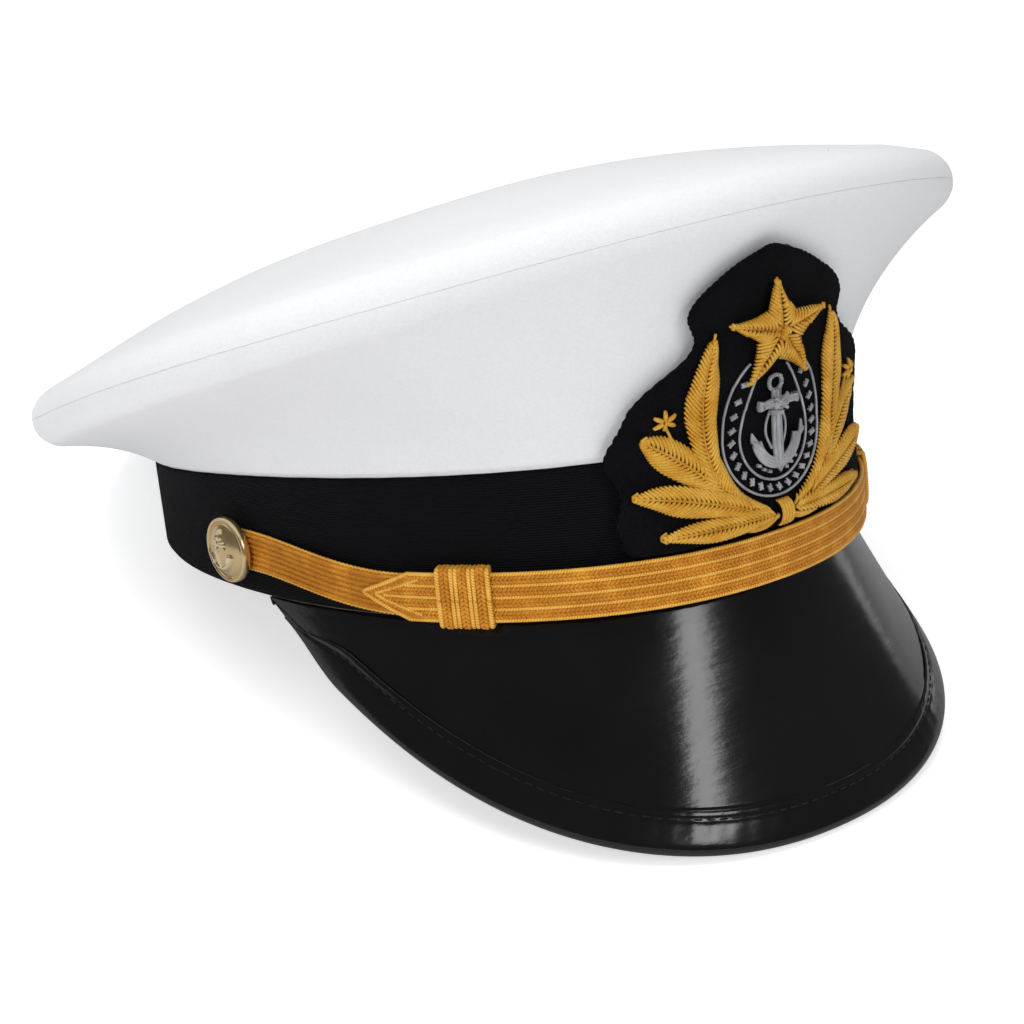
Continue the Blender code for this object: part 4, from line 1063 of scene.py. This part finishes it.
def keeperLoop(radius, count=64, bulge=0.0):
    # (out, dz) points round the keeper's section, this far inside its surface
    a = np.linspace(0, 2 * math.pi, count, endpoint=False)
    halfOut, halfZ = (keeperOut - keeperIn) / 2 - radius, keeper["height"] / 2 - radius
    c, s = np.cos(a), np.sin(a)
    r = (np.abs(c) ** 8 + np.abs(s) ** 8) ** (-1 / 8)
    turn = np.arctan2(s * halfOut * 8, c * halfZ * 8)
    out = (keeperOut + keeperIn) / 2 + halfOut * c * r
    dz = halfZ * s * r
    face = np.clip(c, 0, 1)
    return out + bulge * face * (1 - (dz / halfZ) ** 2), dz


for side, sign in (("Right", -1), ("Left", 1)):
    body = "keeper_" + side.lower()
    centreAngle = sign * strap["keeperAngle"]
    z = float(strapMiddle(np.array(centreAngle))) + 0.0001
    across = np.linalg.norm(onBand(centreAngle + 0.05, keeperOut,
                                   0) - onBand(centreAngle - 0.05, keeperOut, 0)) / 0.1
    halfSpan = keeper["length"] / 2 / across
    t = centreAngle + np.linspace(-0.97, 0.97, 15) * halfSpan
    out, dz = keeperLoop(0.00045)
    rows = onBand(t[:, None], out + 0 * t[:, None], z + dz)
    sleeve = gridObject("keeper" + side, rows, braidBase, closedAcross=True, thick=0.0004, offset=-1.0)
    pieces = [sleeve]
    cords, braids = [], []
    at = -keeper["length"] / 2
    total = sum(w for _, w in keeper["layout"]) / 1000
    for kind, width in keeper["layout"]:
        w = width / 1000 * keeper["length"] / total
        t = centreAngle + (at + w / 2) / across
        at += w
        radius = {"edge": 0.00062, "cord": 0.00052, "braid": 0.00045}[kind]
        out, dz = keeperLoop(radius, 72, 0.00025)
        p = onBand(t + 0 * out, out, z + dz)
        normal2 = np.stack([np.gradient(np.concatenate([dz[-1:], dz, dz[:1]]))[1:-1],
                            -np.gradient(np.concatenate([out[-1:], out, out[:1]]))[1:-1]], -1)
        facing = unit(normal2[:, :1] * bandNormal(np.array(t)) + normal2[:, 1:] * np.array([0, 0, 1.0]))
        if kind == "braid":
            for lane in (-1, 1):
                t2 = t + lane * 0.00048 / across
                braids.append({"points": onBand(t2 + 0 * out, out, z + dz), "outward": facing,
                               "slant": lane * math.radians(38), "closed": True})
        else:
            cords.append({"points": p, "outward": facing, "thick": radius, "closed": True})
    pieces.append(grow("keeperCords", cordTree, cords, Sides=7, Flatness=1.0, Material=cordGold))
    pieces.append(grow("keeperBraid", grainTree, braids, Spacing=0.00105, Length=0.00170, Width=0.00086,
                       Height=0.00120, Unevenness=0.10, Seed=23,
                       Segments=6, Rings=5, Material=braidGold))
    sleeve.modifiers.clear()
    sit(joinPieces("keeper" + side, pieces), body, "braid", body)
print("keepers made")

# side buttons
button = {"radius": 0.0085, "rise": 0.0046, "around": 180, "anchor": 0.0054, "relief": 0.00060}


def segment(x, y, ax, ay, bx, by, thick):
    # distance outside a rounded bar
    dx, dy = bx - ax, by - ay
    k = np.clip(((x - ax) * dx + (y - ay) * dy) / (dx * dx + dy * dy), 0, 1)
    return np.hypot(x - ax - k * dx, y - ay - k * dy) - thick


def anchorRelief(x, y):
    # a plain anchor, 1 tall from -1 to 1
    shank = segment(x, y, 0, 0.52, 0, -0.80, 0.095)
    stock = segment(x, y, -0.42, 0.42, 0.42, 0.42, 0.085)
    eye = np.abs(np.hypot(x, y - 0.78) - 0.17) - 0.065
    arc = np.abs(np.hypot(x, (y + 0.02)) - 0.78) - 0.10
    arc = np.maximum(arc, y + 0.25)
    flukes = np.minimum(segment(x, y, -0.75, -0.22, -0.60, -0.42, 0.15),
                        segment(x, y, 0.75, -0.22, 0.60, -0.42, 0.15))
    shape = np.minimum.reduce([shank, stock, eye, arc, flukes])
    rope = np.abs(y + 0.15 - 0.45 * np.sin(3.2 * x + 0.6)) - 0.05
    rope = np.where(np.abs(x) < 0.55, rope, 1)
    return np.clip(0.5 - shape / 0.10, 0, 1) + 0.45 * np.clip(0.5 - rope / 0.06, 0, 1)


for side, sign, strapThick in (("Right", -1, strap["underThick"]), ("Left", 1, strap["overThick"])):
    body = "button_" + side.lower()
    t = np.array(sign * strap["buttonAngle"])
    axis = bandNormal(t)
    level = unit(np.array([-axis[1], axis[0], 0]))
    up = np.cross(axis, level)
    up = up * np.sign(up[2])
    level = np.cross(up, axis)
    pivot = onBand(t, 0, strap["buttonHeight"])
    back = 0.0005 + strapThick + 0.0007
    lip, top = back + 0.0014, back + button["rise"]
    r0 = button["radius"]
    radii = np.concatenate([np.linspace(0.004, 0.80, 56), [0.825, 0.85, 0.87, 0.885, 0.90, 0.92, 0.945,
                                                           0.965, 0.982, 0.994, 1.0, 0.998, 0.985, 0.955,
                                                           0.90, 0.5, 0.002]]) * r0
    dome = lip + (top - lip) * (1 - (radii / (0.86 * r0)) ** 2 * 0.80)
    rimHeight = np.concatenate([np.zeros(56), np.array([0.55, 0.50, 0.62, 0.86, 1.05, 1.18, 1.20, 1.10,
                                                        0.86, 0.50, 0.05, -0.35, -0.75, -1.15, -1.35, -1.4,
                                                        -1.4]) * 0.001]) + lip
    height = np.where(np.arange(len(radii)) < 56, dome, rimHeight)
    a = 2 * math.pi * np.arange(button["around"]) / button["around"]
    x, y = radii[None, :] * np.cos(a)[:, None], radii[None, :] * np.sin(a)[:, None]
    relief = button["relief"] * anchorRelief(x / button["anchor"],
                                             y / button["anchor"]) * (radii < 0.76 * r0)
    h2 = height[None, :] + relief
    rows = pivot + x[..., None] * level + y[..., None] * up + h2[..., None] * axis
    rows = rows[:, ::-1]
    buttonCap = gridObject("buttonCap" + side, rows, satinBrass, closed=True)
    raised = buttonCap.data.attributes.new("relief", "FLOAT", "POINT")
    worn = relief / button["relief"] + 0.35 * ((radii > 0.90 * r0) & (radii < 0.99 * r0))
    values = np.zeros(len(buttonCap.data.vertices))
    values[:worn.size] = worn[:, ::-1].ravel()
    raised.data.foreach_set("value", values)
    bm = bmesh.new()
    bm.from_mesh(buttonCap.data)
    bmesh.ops.holes_fill(bm, edges=bm.edges, sides=400)
    bmesh.ops.recalc_face_normals(bm, faces=bm.faces)
    bm.to_mesh(buttonCap.data)
    bm.free()
    sit(buttonCap, body, "brass", "button_cap_" + side.lower())
print("buttons made")

# badge: padded felt with metal-thread embroidery
badge = {"offset": 0.0030, "lean": 0.0058, "bottom": 0.0134, "height": 0.072, "width": 0.078,
         "feltOut": 0.0021,
         "feltThick": 0.0014, "middle": (0.0, 0.045)}


def feltHalfWidth(v):
    # half width of the felt at v from 0 (bottom) to 1 (top), as the CAD has it: broad below, narrow above, wavy edge
    lower, upper = 0.50 * badge["width"], 0.29 * badge["width"]
    body = upper + (lower - upper) * (1 - smooth((v - 0.42) / 0.28))
    crest = 1 - np.maximum(0, (v - 0.74) / 0.26) ** 2.4
    wave = 1 + 0.035 * np.cos(2 * math.pi * (4.2 * v - 0.35))
    return body * crest * wave * (0.93 + 0.07 * np.minimum(1, v / 0.2))


def frontSurface(x, height, out):
    # points on the crown front, x across and this high along it, standing out by this much; and the outward direction
    # the stiff felt leans a little at its top
    x = np.asarray(x, float) + badge["offset"] - badge["lean"] * smooth((np.asarray(height, float) - 0.060) / 0.026)
    x, height, out = np.broadcast_arrays(x, np.asarray(height, float), np.asarray(out, float))
    t = x / band["halfWidth"]
    for _ in range(4):
        profile = np.concatenate([onBand(t, 0.0, 0.0)[..., None, :], sideProfile(t, 8, 5)], -2)
        step = np.linalg.norm(np.diff(profile, axis=-2), axis=-1)
        reach = np.concatenate([np.zeros(step.shape[:-1] + (1,)), np.cumsum(step, -1)], -1)
        row = np.clip((reach[..., 1:-1] <= height[..., None]).sum(-1), 0, step.shape[-1] - 1)
        a = np.take_along_axis(profile, row[..., None, None], -2)[..., 0, :]
        b = np.take_along_axis(profile, row[..., None, None] + 1, -2)[..., 0, :]
        k = (height - np.take_along_axis(reach, row[..., None],
                                         -1)[..., 0]) / np.take_along_axis(step, row[..., None], -1)[..., 0]
        p = a + (b - a) * k[..., None]
        safe = np.where(np.abs(p[..., 0]) > 1e-6, p[..., 0], 1)
        t = np.where(np.abs(p[..., 0]) > 1e-6, t * x / safe, t)
    facing = unit(flatNormal(lambda q: onBand(q, 0, 0), t) + flatNormal(rim, t))
    lower = np.take_along_axis(profile, np.maximum(row - 1, 0)[..., None, None], -2)[..., 0, :]
    run = b - lower
    flat, lift = (run * facing).sum(-1), run[..., 2]
    outward = unit(lift[..., None] * facing - np.stack([0 * flat, 0 * flat, flat], -1))
    return p + out[..., None] * outward, outward


def curveThrough(points, count, closed=False):
    # a smooth line through points
    p = np.asarray(points, float)
    n = len(p)
    u = np.linspace(0, n if closed else n - 1, count, endpoint=not closed)
    i = np.clip(np.floor(u).astype(int), 0, (n - 1) if closed else n - 2)
    f = (u - i)[:, None]
    pick = (lambda q: p[q % n]) if closed else (lambda q: p[np.clip(q, 0, n - 1)])
    a, b, c, d = pick(i - 1), pick(i), pick(i + 1), pick(i + 2)
    return 0.5 * (2 * b + (c - a) * f + (2 * a - 5 * b + 4 * c - d) * f ** 2 + (3 * b - a - 3 * c + d) * f ** 3)


v = np.sin(np.linspace(0, 1.47, 26))  # closer together towards the round top
halfWidth, heights = feltHalfWidth(v), badge["bottom"] + badge["height"] * v
leftHalf = [(0, heights[0]), (-0.5 * halfWidth[0],
                              heights[0])] + [(-x, y) for x, y in zip(halfWidth, heights)]
wholeOutline = leftHalf + [(-x, y) for x, y in leftHalf[:0:-1]]
edgeLine = curveThrough(wholeOutline, 320, closed=True)
edgeLine = edgeLine + 0.00016 * np.sin(np.arange(320)[:, None] * 1.9 + np.array([0, 1.3]))
s = np.concatenate([[0.990, 0.996, 0.998, 0.992, 0.98, 0.96], np.linspace(0.92, 0.04, 22)])
lift = np.concatenate([[0.0001, 0.0005, 0.0009, 0.00125, 0.0014, 0.00142], np.full(22, 0.0014)])
middle = np.array(badge["middle"])
onFelt = middle + (edgeLine[:, None, :] - middle) * s[:, None]
fuzz = 0.00006 * hashNoise(onFelt[..., 0] * 3100, onFelt[..., 1] * 2700)
rows, _ = frontSurface(onFelt[..., 0], onFelt[..., 1], badge["feltOut"] + lift + fuzz)
centrePoint, _ = frontSurface(middle[0], middle[1], badge["feltOut"] + 0.0014)
badgeFelt = gridObject("badgeFelt", rows[::-1], blackFelt, closed=True, pole=centrePoint, thick=0.0003,
                       offset=-1.0)
sit(badgeFelt, "cap", "felt", "badge_felt")

feltTop = badge["feltOut"] + badge["feltThick"]
strand = {"radius": 0.00042, "spacing": 0.00107, "lift": 0.0010}


def onBadge(points, out, **more):
    # a path on the badge from (x, height) millimetres
    p = np.asarray(points, float) / 1000
    at, facing = frontSurface(p[:, 0], p[:, 1], out)
    return {"points": at, "outward": facing, **more}


def leafShape(k):
    return math.sin(math.pi * min(1, 0.10 + 0.90 * k ** 0.80)) ** 0.62


def armShape(k):
    return max(0.02, min(k / 0.36, (1.0 - k) / 0.64))


def leaf(spine, halfWidth, mirror=1, lean=40, base=0.0, start=0.0, radius=None, shape=leafShape, lift=None):
    # herringbone strands each side of a curved midrib, as paths
    radius, lift = radius or strand["radius"], strand["lift"] if lift is None else lift
    line = curveThrough(spine, 200)
    size = np.concatenate([[0], np.cumsum(np.linalg.norm(np.diff(line, axis=0), axis=1))])
    total = size[-1]
    paths = []
    count = int(total * (1 - start) / (strand["spacing"] * 1000))
    for i in range(count):
        k = start + (1 - start) * (i + 0.5) / count
        at = k * total
        width = halfWidth * shape(k)
        if shape is armShape:  # the strand's far end meets the arm's straight side
            for _ in range(12):
                width = 0.5 * width + 0.5 * halfWidth * shape(min(1, k + width / math.tan(math.radians(lean)) / total))
        for side in (-1, 1):
            uneven = 1 + 0.10 * math.sin(12.9 * i + 4 * side)
            reach = max(0.6, width * uneven)
            forward = reach / math.tan(math.radians(lean))
            u = np.linspace(0, 1, 7)
            reachAt = np.minimum(at + forward * u ** 1.25, total + 0.8 * u)
            x, y = np.interp(reachAt, size, line[:, 0]), np.interp(reachAt, size, line[:, 1])
            tx = np.interp(np.minimum(reachAt, total), size, np.gradient(line[:, 0], size))
            ty = np.interp(np.minimum(reachAt, total), size, np.gradient(line[:, 1], size))
            run = np.hypot(tx, ty)
            over = np.maximum(0, reachAt - total)
            off = side * (0.25 + (reach - 0.25) * u)
            px, py = x + tx / run * over - off * ty / run, y + ty / run * over + off * tx / run
            out = feltTop + base + radius * 0.75 + lift * np.sin(math.pi * (0.16 + 0.84 * u)) ** 0.8 * min(1.0, reach / 2.2)
            thick = radius * (0.55 + 0.45 * np.sin(math.pi * np.clip(0.12 + 0.80 * u, 0, 1)) ** 0.5)
            paths.append(onBadge(np.stack([mirror * px, py], -1), out, thick=thick))
    rib = curveThrough(spine, 30)[int(30 * start):]
    paths.append(onBadge(np.stack([mirror * rib[:, 0], rib[:, 1]], -1), feltTop + base + 0.00062,
                         thick=0.00040))
    return paths


# each leaf is an even arc: its foot at an angle round the wreath, then aim and turn in degrees, the rest in mm
wreath = {"middle": 36.0, "round": 19.0, "bud": (28.5, 45.4)}
leaves = {"tall": {"foot": -160, "aim": 105, "turn": -30, "length": 34, "width": 3.7, "base": 0.5},
          "upper": {"foot": -140, "aim": 130, "turn": 15, "length": 25, "width": 3.9, "base": 0.0},
          "inner": {"foot": -100, "aim": 170, "turn": -90, "length": 28, "width": 2.9, "base": 0.2},
          "lower": {"foot": -120, "aim": 155, "turn": 15, "length": 27, "width": 3.5, "base": 0.9},
          "lowest": {"foot": -100, "aim": 180, "turn": 0, "length": 27, "width": 2.7, "base": 1.2}}


def arcSpine(foot, aim, turn, length, steps=7):
    # the middle line of a leaf on the left side
    footAt = wreath["round"] * np.array([math.cos(math.radians(foot)), math.sin(math.radians(foot))])
    headings = np.radians(aim + turn * (np.arange(steps - 1) + 0.5) / (steps - 1))
    stretch = length / (steps - 1) * np.stack([np.cos(headings), np.sin(headings)], -1)
    return np.array([0, wreath["middle"]]) + footAt + np.concatenate([np.zeros((1, 2)), np.cumsum(stretch, 0)])


for side, mirror in (("Right", 1), ("Left", -1)):
    paths, ends = [], []
    for kind, own in leaves.items():
        spine = arcSpine(own["foot"], own["aim"], own["turn"], own["length"])
        paths += leaf(spine, own["width"], mirror, base=own["base"] / 1000)
        x, y = spine[-1]
        if kind in ("tall", "inner"):
            dx, dy = x - spine[-2][0], y - spine[-2][1]
            run = math.hypot(dx, dy)
            ends.append(onBadge([(mirror * (x - 0.6 * dx / run), y - 0.6 * dy / run),
                                 (mirror * (x + 2.0 * dx / run), y + 2.0 * dy / run)],
                                feltTop + 0.0008, thick=0.00034))
            continue
        for k in range(4):
            a = 5.35 + 0.62 * k
            ends.append(onBadge([(mirror * (x - 0.5 * math.cos(a)), y + 0.5 * math.sin(a)),
                                 (mirror * (x + 1.5 * math.cos(a)), y + 1.5 * math.sin(a))],
                                feltTop + 0.0009, thick=0.00036))
    branch = grow("wreath" + side, cordTree, paths + ends, Sides=6, Flatness=1.0, Material=bullionGold)
    sit(branch, "cap", "bullion", "wreath_" + side.lower())
    budOut, budHeight = wreath["bud"]
    stem = [(-mirror * (budOut - 3.0), budHeight - 8.0), (-mirror * (budOut - 1.2), budHeight - 4.0),
            (-mirror * budOut, budHeight - 1.0)]
    petals = [onBadge(curveThrough(stem, 9), feltTop + 0.0006, thick=0.00036)]
    for k in range(6):
        a = math.pi / 6 + k * math.pi / 3
        u = np.linspace(0, 1, 5)
        petals.append(onBadge(np.stack([mirror * (-budOut + (0.5 + 2.2 * u) * math.cos(a)),
                                        budHeight + (0.5 + 2.2 * u) * math.sin(a)], -1),
                              feltTop + 0.0006 + 0.0007 * np.sin(math.pi * (0.3 + 0.6 * u)),
                              thick=0.00058 * np.sin(math.pi * (0.25 + 0.6 * u)) ** 0.6))
    petals.append(onBadge([(-mirror * (budOut + 0.3), budHeight), (-mirror * (budOut - 0.3), budHeight)],
                          feltTop + 0.0016, thick=0.00062))
    bud = grow("bud" + side, cordTree, petals, Sides=8, Flatness=1.0, Material=bullionGold)
    sit(bud, "cap", "bullion", "bud_" + side.lower())

tie = []
for k in range(4):
    x = -1.35 + 0.9 * k
    u = np.linspace(0, 1, 9)
    tie.append(onBadge(np.stack([x + 0.35 * np.sin(math.pi * u), 13.9 + 6.2 * u], -1),
                       feltTop + 0.0010 + 0.0016 * np.sin(math.pi * u) ** 0.5, thick=0.00052))
for side in (-1, 1):
    for k in range(3):
        line = curveThrough([(side * (1.0 + 0.4 * k), 16.4), (side * (5.0 + 0.5 * k), 14.6 + 0.3 * k),
                             (side * (9.0 + 0.8 * k), 14.4 + 0.25 * k)], 12)
        tie.append(onBadge(line, feltTop + 0.0007 + 0.0003 * k, thick=0.00052))
wreathTie = grow("wreathTie", cordTree, tie, Sides=7, Flatness=1.0, Material=bullionGold)
sit(wreathTie, "cap", "bullion", "wreath_tie")

star = {"middle": (0.0, 61.9), "radius": 14.5, "arms": 5, "armWidth": 4.1}
paths, ends = [], []
for k in range(star["arms"]):
    a = math.pi / 2 + 2 * math.pi * k / star["arms"]
    direction = star["radius"] * np.array([math.cos(a), math.sin(a)])
    spine = [np.array(star["middle"]) + direction * f for f in (0.03, 0.35, 0.68, 1.0)]
    paths += leaf(spine, star["armWidth"], 1, lean=48, base=0.0016, shape=armShape, lift=0.0013)
    tip = np.array(star["middle"]) + direction
    ends.append(onBadge([tip - direction * 0.06, tip + direction * 0.04], feltTop + 0.0018, thick=0.00030))
for k in range(7):
    a = 2 * math.pi * k / 7
    r = 0.0 if k == 6 else 0.8
    ends.append(onBadge([(r * math.cos(a) - 0.3, star["middle"][1] + r * math.sin(a)),
                         (r * math.cos(a) + 0.3, star["middle"][1] + r * math.sin(a))], feltTop + 0.0036,
                        thick=0.0006))
starPiece = grow("starEmbroidery", cordTree, paths + ends, Sides=6, Flatness=1.0, Material=bullionGold)
sit(starPiece, "cap", "bullion", "star")
print("gold embroidery made")

ring = {"middle": 36.0, "outer": 14.9, "inner": 10.4, "wire": 0.00034, "stitches": 23}


def ringLine(a, share):
    # share 0 is the inner wire and 1 the outer
    s, c = np.sin(a), np.cos(a)
    up = np.maximum(0, s) ** 2
    ox, oy = ring["outer"] * c * (1 + 0.35 * up), ring["middle"] + ring["outer"] * s * (1 + 0.40 * up)
    ix, iy = ring["inner"] * c * (1 - 0.02 * up), ring["middle"] + (ring["inner"] + 0.6) * s * (1 + 0.75 * up)
    return np.stack([ix + (ox - ix) * share, iy + (oy - iy) * share], -1)


wires = []
a = np.linspace(math.radians(-248), math.radians(68), 150)
for share in (0.0, 1.0):
    wires.append(onBadge(ringLine(a, share), feltTop + 0.00035, thick=ring["wire"]))
for k in range(ring["stitches"]):
    b = math.radians(-232 + 284 * k / (ring["stitches"] - 1))
    p, q = ringLine(np.array([b - 0.01, b + 0.01]), 0.5)
    along = unit(q - p)
    side = np.array([-along[1], along[0]])
    mid = (p + q) / 2
    for lean in (-1.1, 0.1, 1.1):
        d = unit(along * math.cos(lean + 0.6) + side * math.sin(lean + 0.6)) * (1.0 if lean != 0.1 else 0.6)
        wires.append(onBadge([mid - d, mid, mid + d], feltTop + np.array([0.0004, 0.0007, 0.0004]),
                             thick=np.array([0.00030, 0.00034, 0.00030])))
silverRing = grow("silverRing", cordTree, wires, Sides=6, Flatness=1.0, Material=bullionSilver)
sit(silverRing, "cap", "silver", "silver_ring")

a = np.linspace(0, 2 * math.pi, 28, endpoint=False)
eye = [onBadge(np.stack([1.9 * np.cos(a), 48.6 + 1.9 * np.sin(a)], -1), feltTop + 0.0007, thick=0.00052,
               closed=True)]
for k in range(14):
    b = 2 * math.pi * k / 14
    c, s = math.cos(b), math.sin(b)
    eye.append(onBadge([(1.45 * c, 48.6 + 1.45 * s), (1.9 * math.cos(b + 0.12),
                                                      48.6 + 1.9 * math.sin(b + 0.12)),
                        (2.4 * math.cos(b + 0.24), 48.6 + 2.4 * math.sin(b + 0.24))],
                       feltTop + np.array([0.0008, 0.0013, 0.0008]), thick=0.00022))
anchorRing = grow("anchorRing", cordTree, eye, Sides=7, Flatness=1.0, Material=bullionSilver)
sit(anchorRing, "cap", "silver", "anchor_ring")

stock = []
for k in range(3):
    stock.append(onBadge(curveThrough([(-4.8, 43.7 + 0.55 * (k - 1)), (0, 44.1 + 0.75 * (k - 1)),
                                       (5.0, 43.9 + 0.55 * (k - 1))], 12),
                         feltTop + 0.0022 - 0.0003 * abs(k - 1), thick=0.00062))
for side in (-1, 1):
    for k in range(4):
        x = side * (5.0 + 0.35 * (k % 2))
        stock.append(onBadge([(x, 42.6 + 0.0 * k), (x + side * 0.25, 43.8), (x, 45.1)],
                             feltTop + 0.0015 + 0.0005 * (k // 2), thick=0.00062))
for k in range(4):
    u = np.linspace(-1, 1, 8)
    stock.append(onBadge(np.stack([2.0 * u, 43.2 + 0.5 * k + (1 if k % 2 else -1) * 1.3 * u], -1),
                         feltTop + 0.0022 + 0.0008 * np.cos(u), thick=0.00045))
anchorStock = grow("anchorStock", cordTree, stock, Sides=7, Flatness=1.0, Material=bullionSilver)
sit(anchorStock, "cap", "silver", "anchor_stock")

shank = []
for k in range(3):
    shank.append(onBadge([(0.75 * (k - 1), 47.0), (0.85 * (k - 1), 40.0), (0.95 * (k - 1), 34.0),
                          (0.8 * (k - 1), 29.6)], feltTop + 0.0014 - 0.0004 * abs(k - 1), thick=0.00066))
for y in (42.3, 41.4, 40.9):
    u = np.linspace(-1, 1, 7)
    shank.append(onBadge(np.stack([1.9 * u, y - 0.25 * u], -1),
                         feltTop + 0.0010 + 0.0013 * np.sqrt(np.clip(1 - u * u, 0, 1)), thick=0.00036))
for side in (-1, 1):
    line = curveThrough([(side * 1.5, 42.0), (side * 2.9, 39.0), (side * 3.0, 36.0), (side * 1.6, 32.6)],
                        20)
    shank.append(onBadge(line, feltTop + 0.0006, thick=0.00034))
anchorShank = grow("anchorShank", cordTree, shank, Sides=7, Flatness=1.0, Material=bullionSilver)
sit(anchorShank, "cap", "silver", "anchor_shank")

arms = []
for k in range(4):
    r = 7.3 - 0.62 * k
    b = np.radians(np.linspace(192, 348, 26))
    arms.append(onBadge(np.stack([r * np.cos(b), 36.4 + (8.3 - 0.62 * k) * np.sin(b)], -1),
                        feltTop + 0.0009 + 0.0004 * math.sin(math.pi * (k + 0.5) / 4), thick=0.00050))
for side in (-1, 1):
    for k in range(6):
        foot = (side * (4.6 + 0.62 * k), 33.0 - 0.25 * k + 0.14 * k * k)
        arms.append(onBadge([foot, (side * (6.4 + 0.28 * k), 34.6 + 0.2 * k),
                             (side * (7.7 + 0.05 * k), 37.6 - 0.35 * k)],
                            feltTop + np.array([0.0012, 0.0018, 0.0012]),
                            thick=np.array([0.00045, 0.00048, 0.00028])))
arms.append(onBadge([(-1.1, 28.9), (0, 27.2), (1.1, 28.9)], feltTop + 0.0012, thick=0.0006))
for degrees in (228, 240, 252, 288, 300, 312):  # small stitches under the arms
    x, y = 8.4 * math.cos(math.radians(degrees)), 36.4 + 9.6 * math.sin(math.radians(degrees))
    arms.append(onBadge([(x - 0.5, y + 0.2), (x + 0.5, y - 0.2)], feltTop + 0.0004, thick=0.00044))
anchorArms = grow("anchorArms", cordTree, arms, Sides=7, Flatness=1.0, Material=bullionSilver)
sit(anchorArms, "cap", "silver", "anchor_arms")
print("silver embroidery made")

# the CAD nodes that stay, with their own finishes
carried = {"band_core": (bandFibre, "fibre"), "front_stay": (cardBoard, "fibre"),
           "visor_core": (cardBoard, "fibre"), "badge_backing": (cardBoard, "fibre"),
           "rim_padding": (rimFoam, "foam"), "grommet_wire": (springSteel, "steel"),
           "grommet_ferrule": (springSteel, "steel"),
           "button_clip_left": (springSteel, "steel"), "button_clip_right": (springSteel, "steel"),
           "button_shank_left": (satinBrass, "brass"), "button_shank_right": (satinBrass, "brass")}
for name, (paint, slotName) in carried.items():
    obj = nodes[name]
    obj.data.materials.clear()
    obj.data.materials.append(paint)

# floor, light and camera
floorPaint, tree, shader = startMaterial("floorPaper", 0.9, Specular_IOR_Level=0.1)
grain = place(tree, grainGroup, 3.0, 60.0, 9.0)
paper = colourRamp(tree, grain[0], [(0.3, (0.90, 0.90, 0.905)), (0.7, (0.93, 0.93, 0.932))])
shader.inputs["Emission Color"].default_value = (1, 1, 1, 1)
path = tree.nodes.new("ShaderNodeLightPath")
link(tree, mixColour(tree, path.outputs["Is Glossy Ray"], paper, (0.50, 0.50, 0.51)),
     shader.inputs["Base Color"])
link(tree, maths(tree, "MULTIPLY_ADD", path.outputs["Is Camera Ray"], 0.50, 0.05),
     shader.inputs["Emission Strength"])
bpy.ops.mesh.primitive_plane_add(size=6, location=(0, 0, 0))
floor = bpy.context.object
floor.name = "floor"
floor.data.materials.append(floorPaint)

world = bpy.data.worlds.new("studio")
bpy.context.scene.world = world
world.use_nodes = True
tree = world.node_tree
background = tree.nodes["Background"]
path = tree.nodes.new("ShaderNodeLightPath")
tone = tree.nodes.new("ShaderNodeMix")
tone.data_type = "FLOAT"
link(tree, path.outputs["Is Glossy Ray"], tone.inputs["Factor"])
tone.inputs[2].default_value = 0.34
tone.inputs[3].default_value = 0.10
final = tree.nodes.new("ShaderNodeMix")
final.data_type = "FLOAT"
link(tree, path.outputs["Is Camera Ray"], final.inputs["Factor"])
link(tree, tone.outputs[0], final.inputs[2])
final.inputs[3].default_value = 1.0
link(tree, final.outputs[0], background.inputs["Strength"])
background.inputs["Color"].default_value = (1, 1, 1, 1)


def softbox(name, spot, aim, width, height, watts, glossy=True):
    light = bpy.data.lights.new(name, "AREA")
    light.shape = "RECTANGLE"
    light.size, light.size_y = width, height
    light.energy = watts
    obj = bpy.data.objects.new(name, light)
    obj.location = spot
    obj.rotation_euler = (Vector(aim) - Vector(spot)).to_track_quat("-Z", "Y").to_euler()
    obj.visible_glossy = glossy
    bpy.context.scene.collection.objects.link(obj)
    return obj


softbox("keyLight", (-0.25, 0.15, 1.25), (0, 0, 0.08), 1.1, 1.1, 10.5, glossy=False)
softbox("frontLight", (0.08, -1.08, 0.78), (0.0, -0.12, 0.03), 0.24, 0.50,
        2.1).rotation_euler.rotate_axis("Z", math.radians(-30))
softbox("rimLight", (1.10, -0.05, 0.10), (0.03, -0.1, 0.03), 0.20, 0.16, 0.12)
softbox("goldLight", (-0.95, -0.60, 0.55), (0.0, -0.10, 0.05), 0.50, 0.50, 3.5, glossy=False)

camera = {"place": (-0.326261, -0.427563, 0.293586), "right": (0.7998, -0.5986, 0.0456),
          "back": (-0.5514, -0.7025, 0.4500), "lens": 75.659}
lens = bpy.data.cameras.new("camera")
lens.lens, lens.sensor_width = camera["lens"], 36
lens.clip_start = 0.01
view = bpy.data.objects.new("camera", lens)
bpy.context.scene.collection.objects.link(view)
back = Vector(camera["back"]).normalized()
right = Vector(camera["right"])
right = (right - back * right.dot(back)).normalized()
up = back.cross(right)
view.matrix_world = Matrix(((right.x, up.x, back.x, camera["place"][0]),
                            (right.y, up.y, back.y, camera["place"][1]),
                            (right.z, up.z, back.z, camera["place"][2]), (0, 0, 0, 1)))
bpy.context.scene.camera = view
bpy.context.scene.view_settings.view_transform = "Standard"
print("lights and camera set")
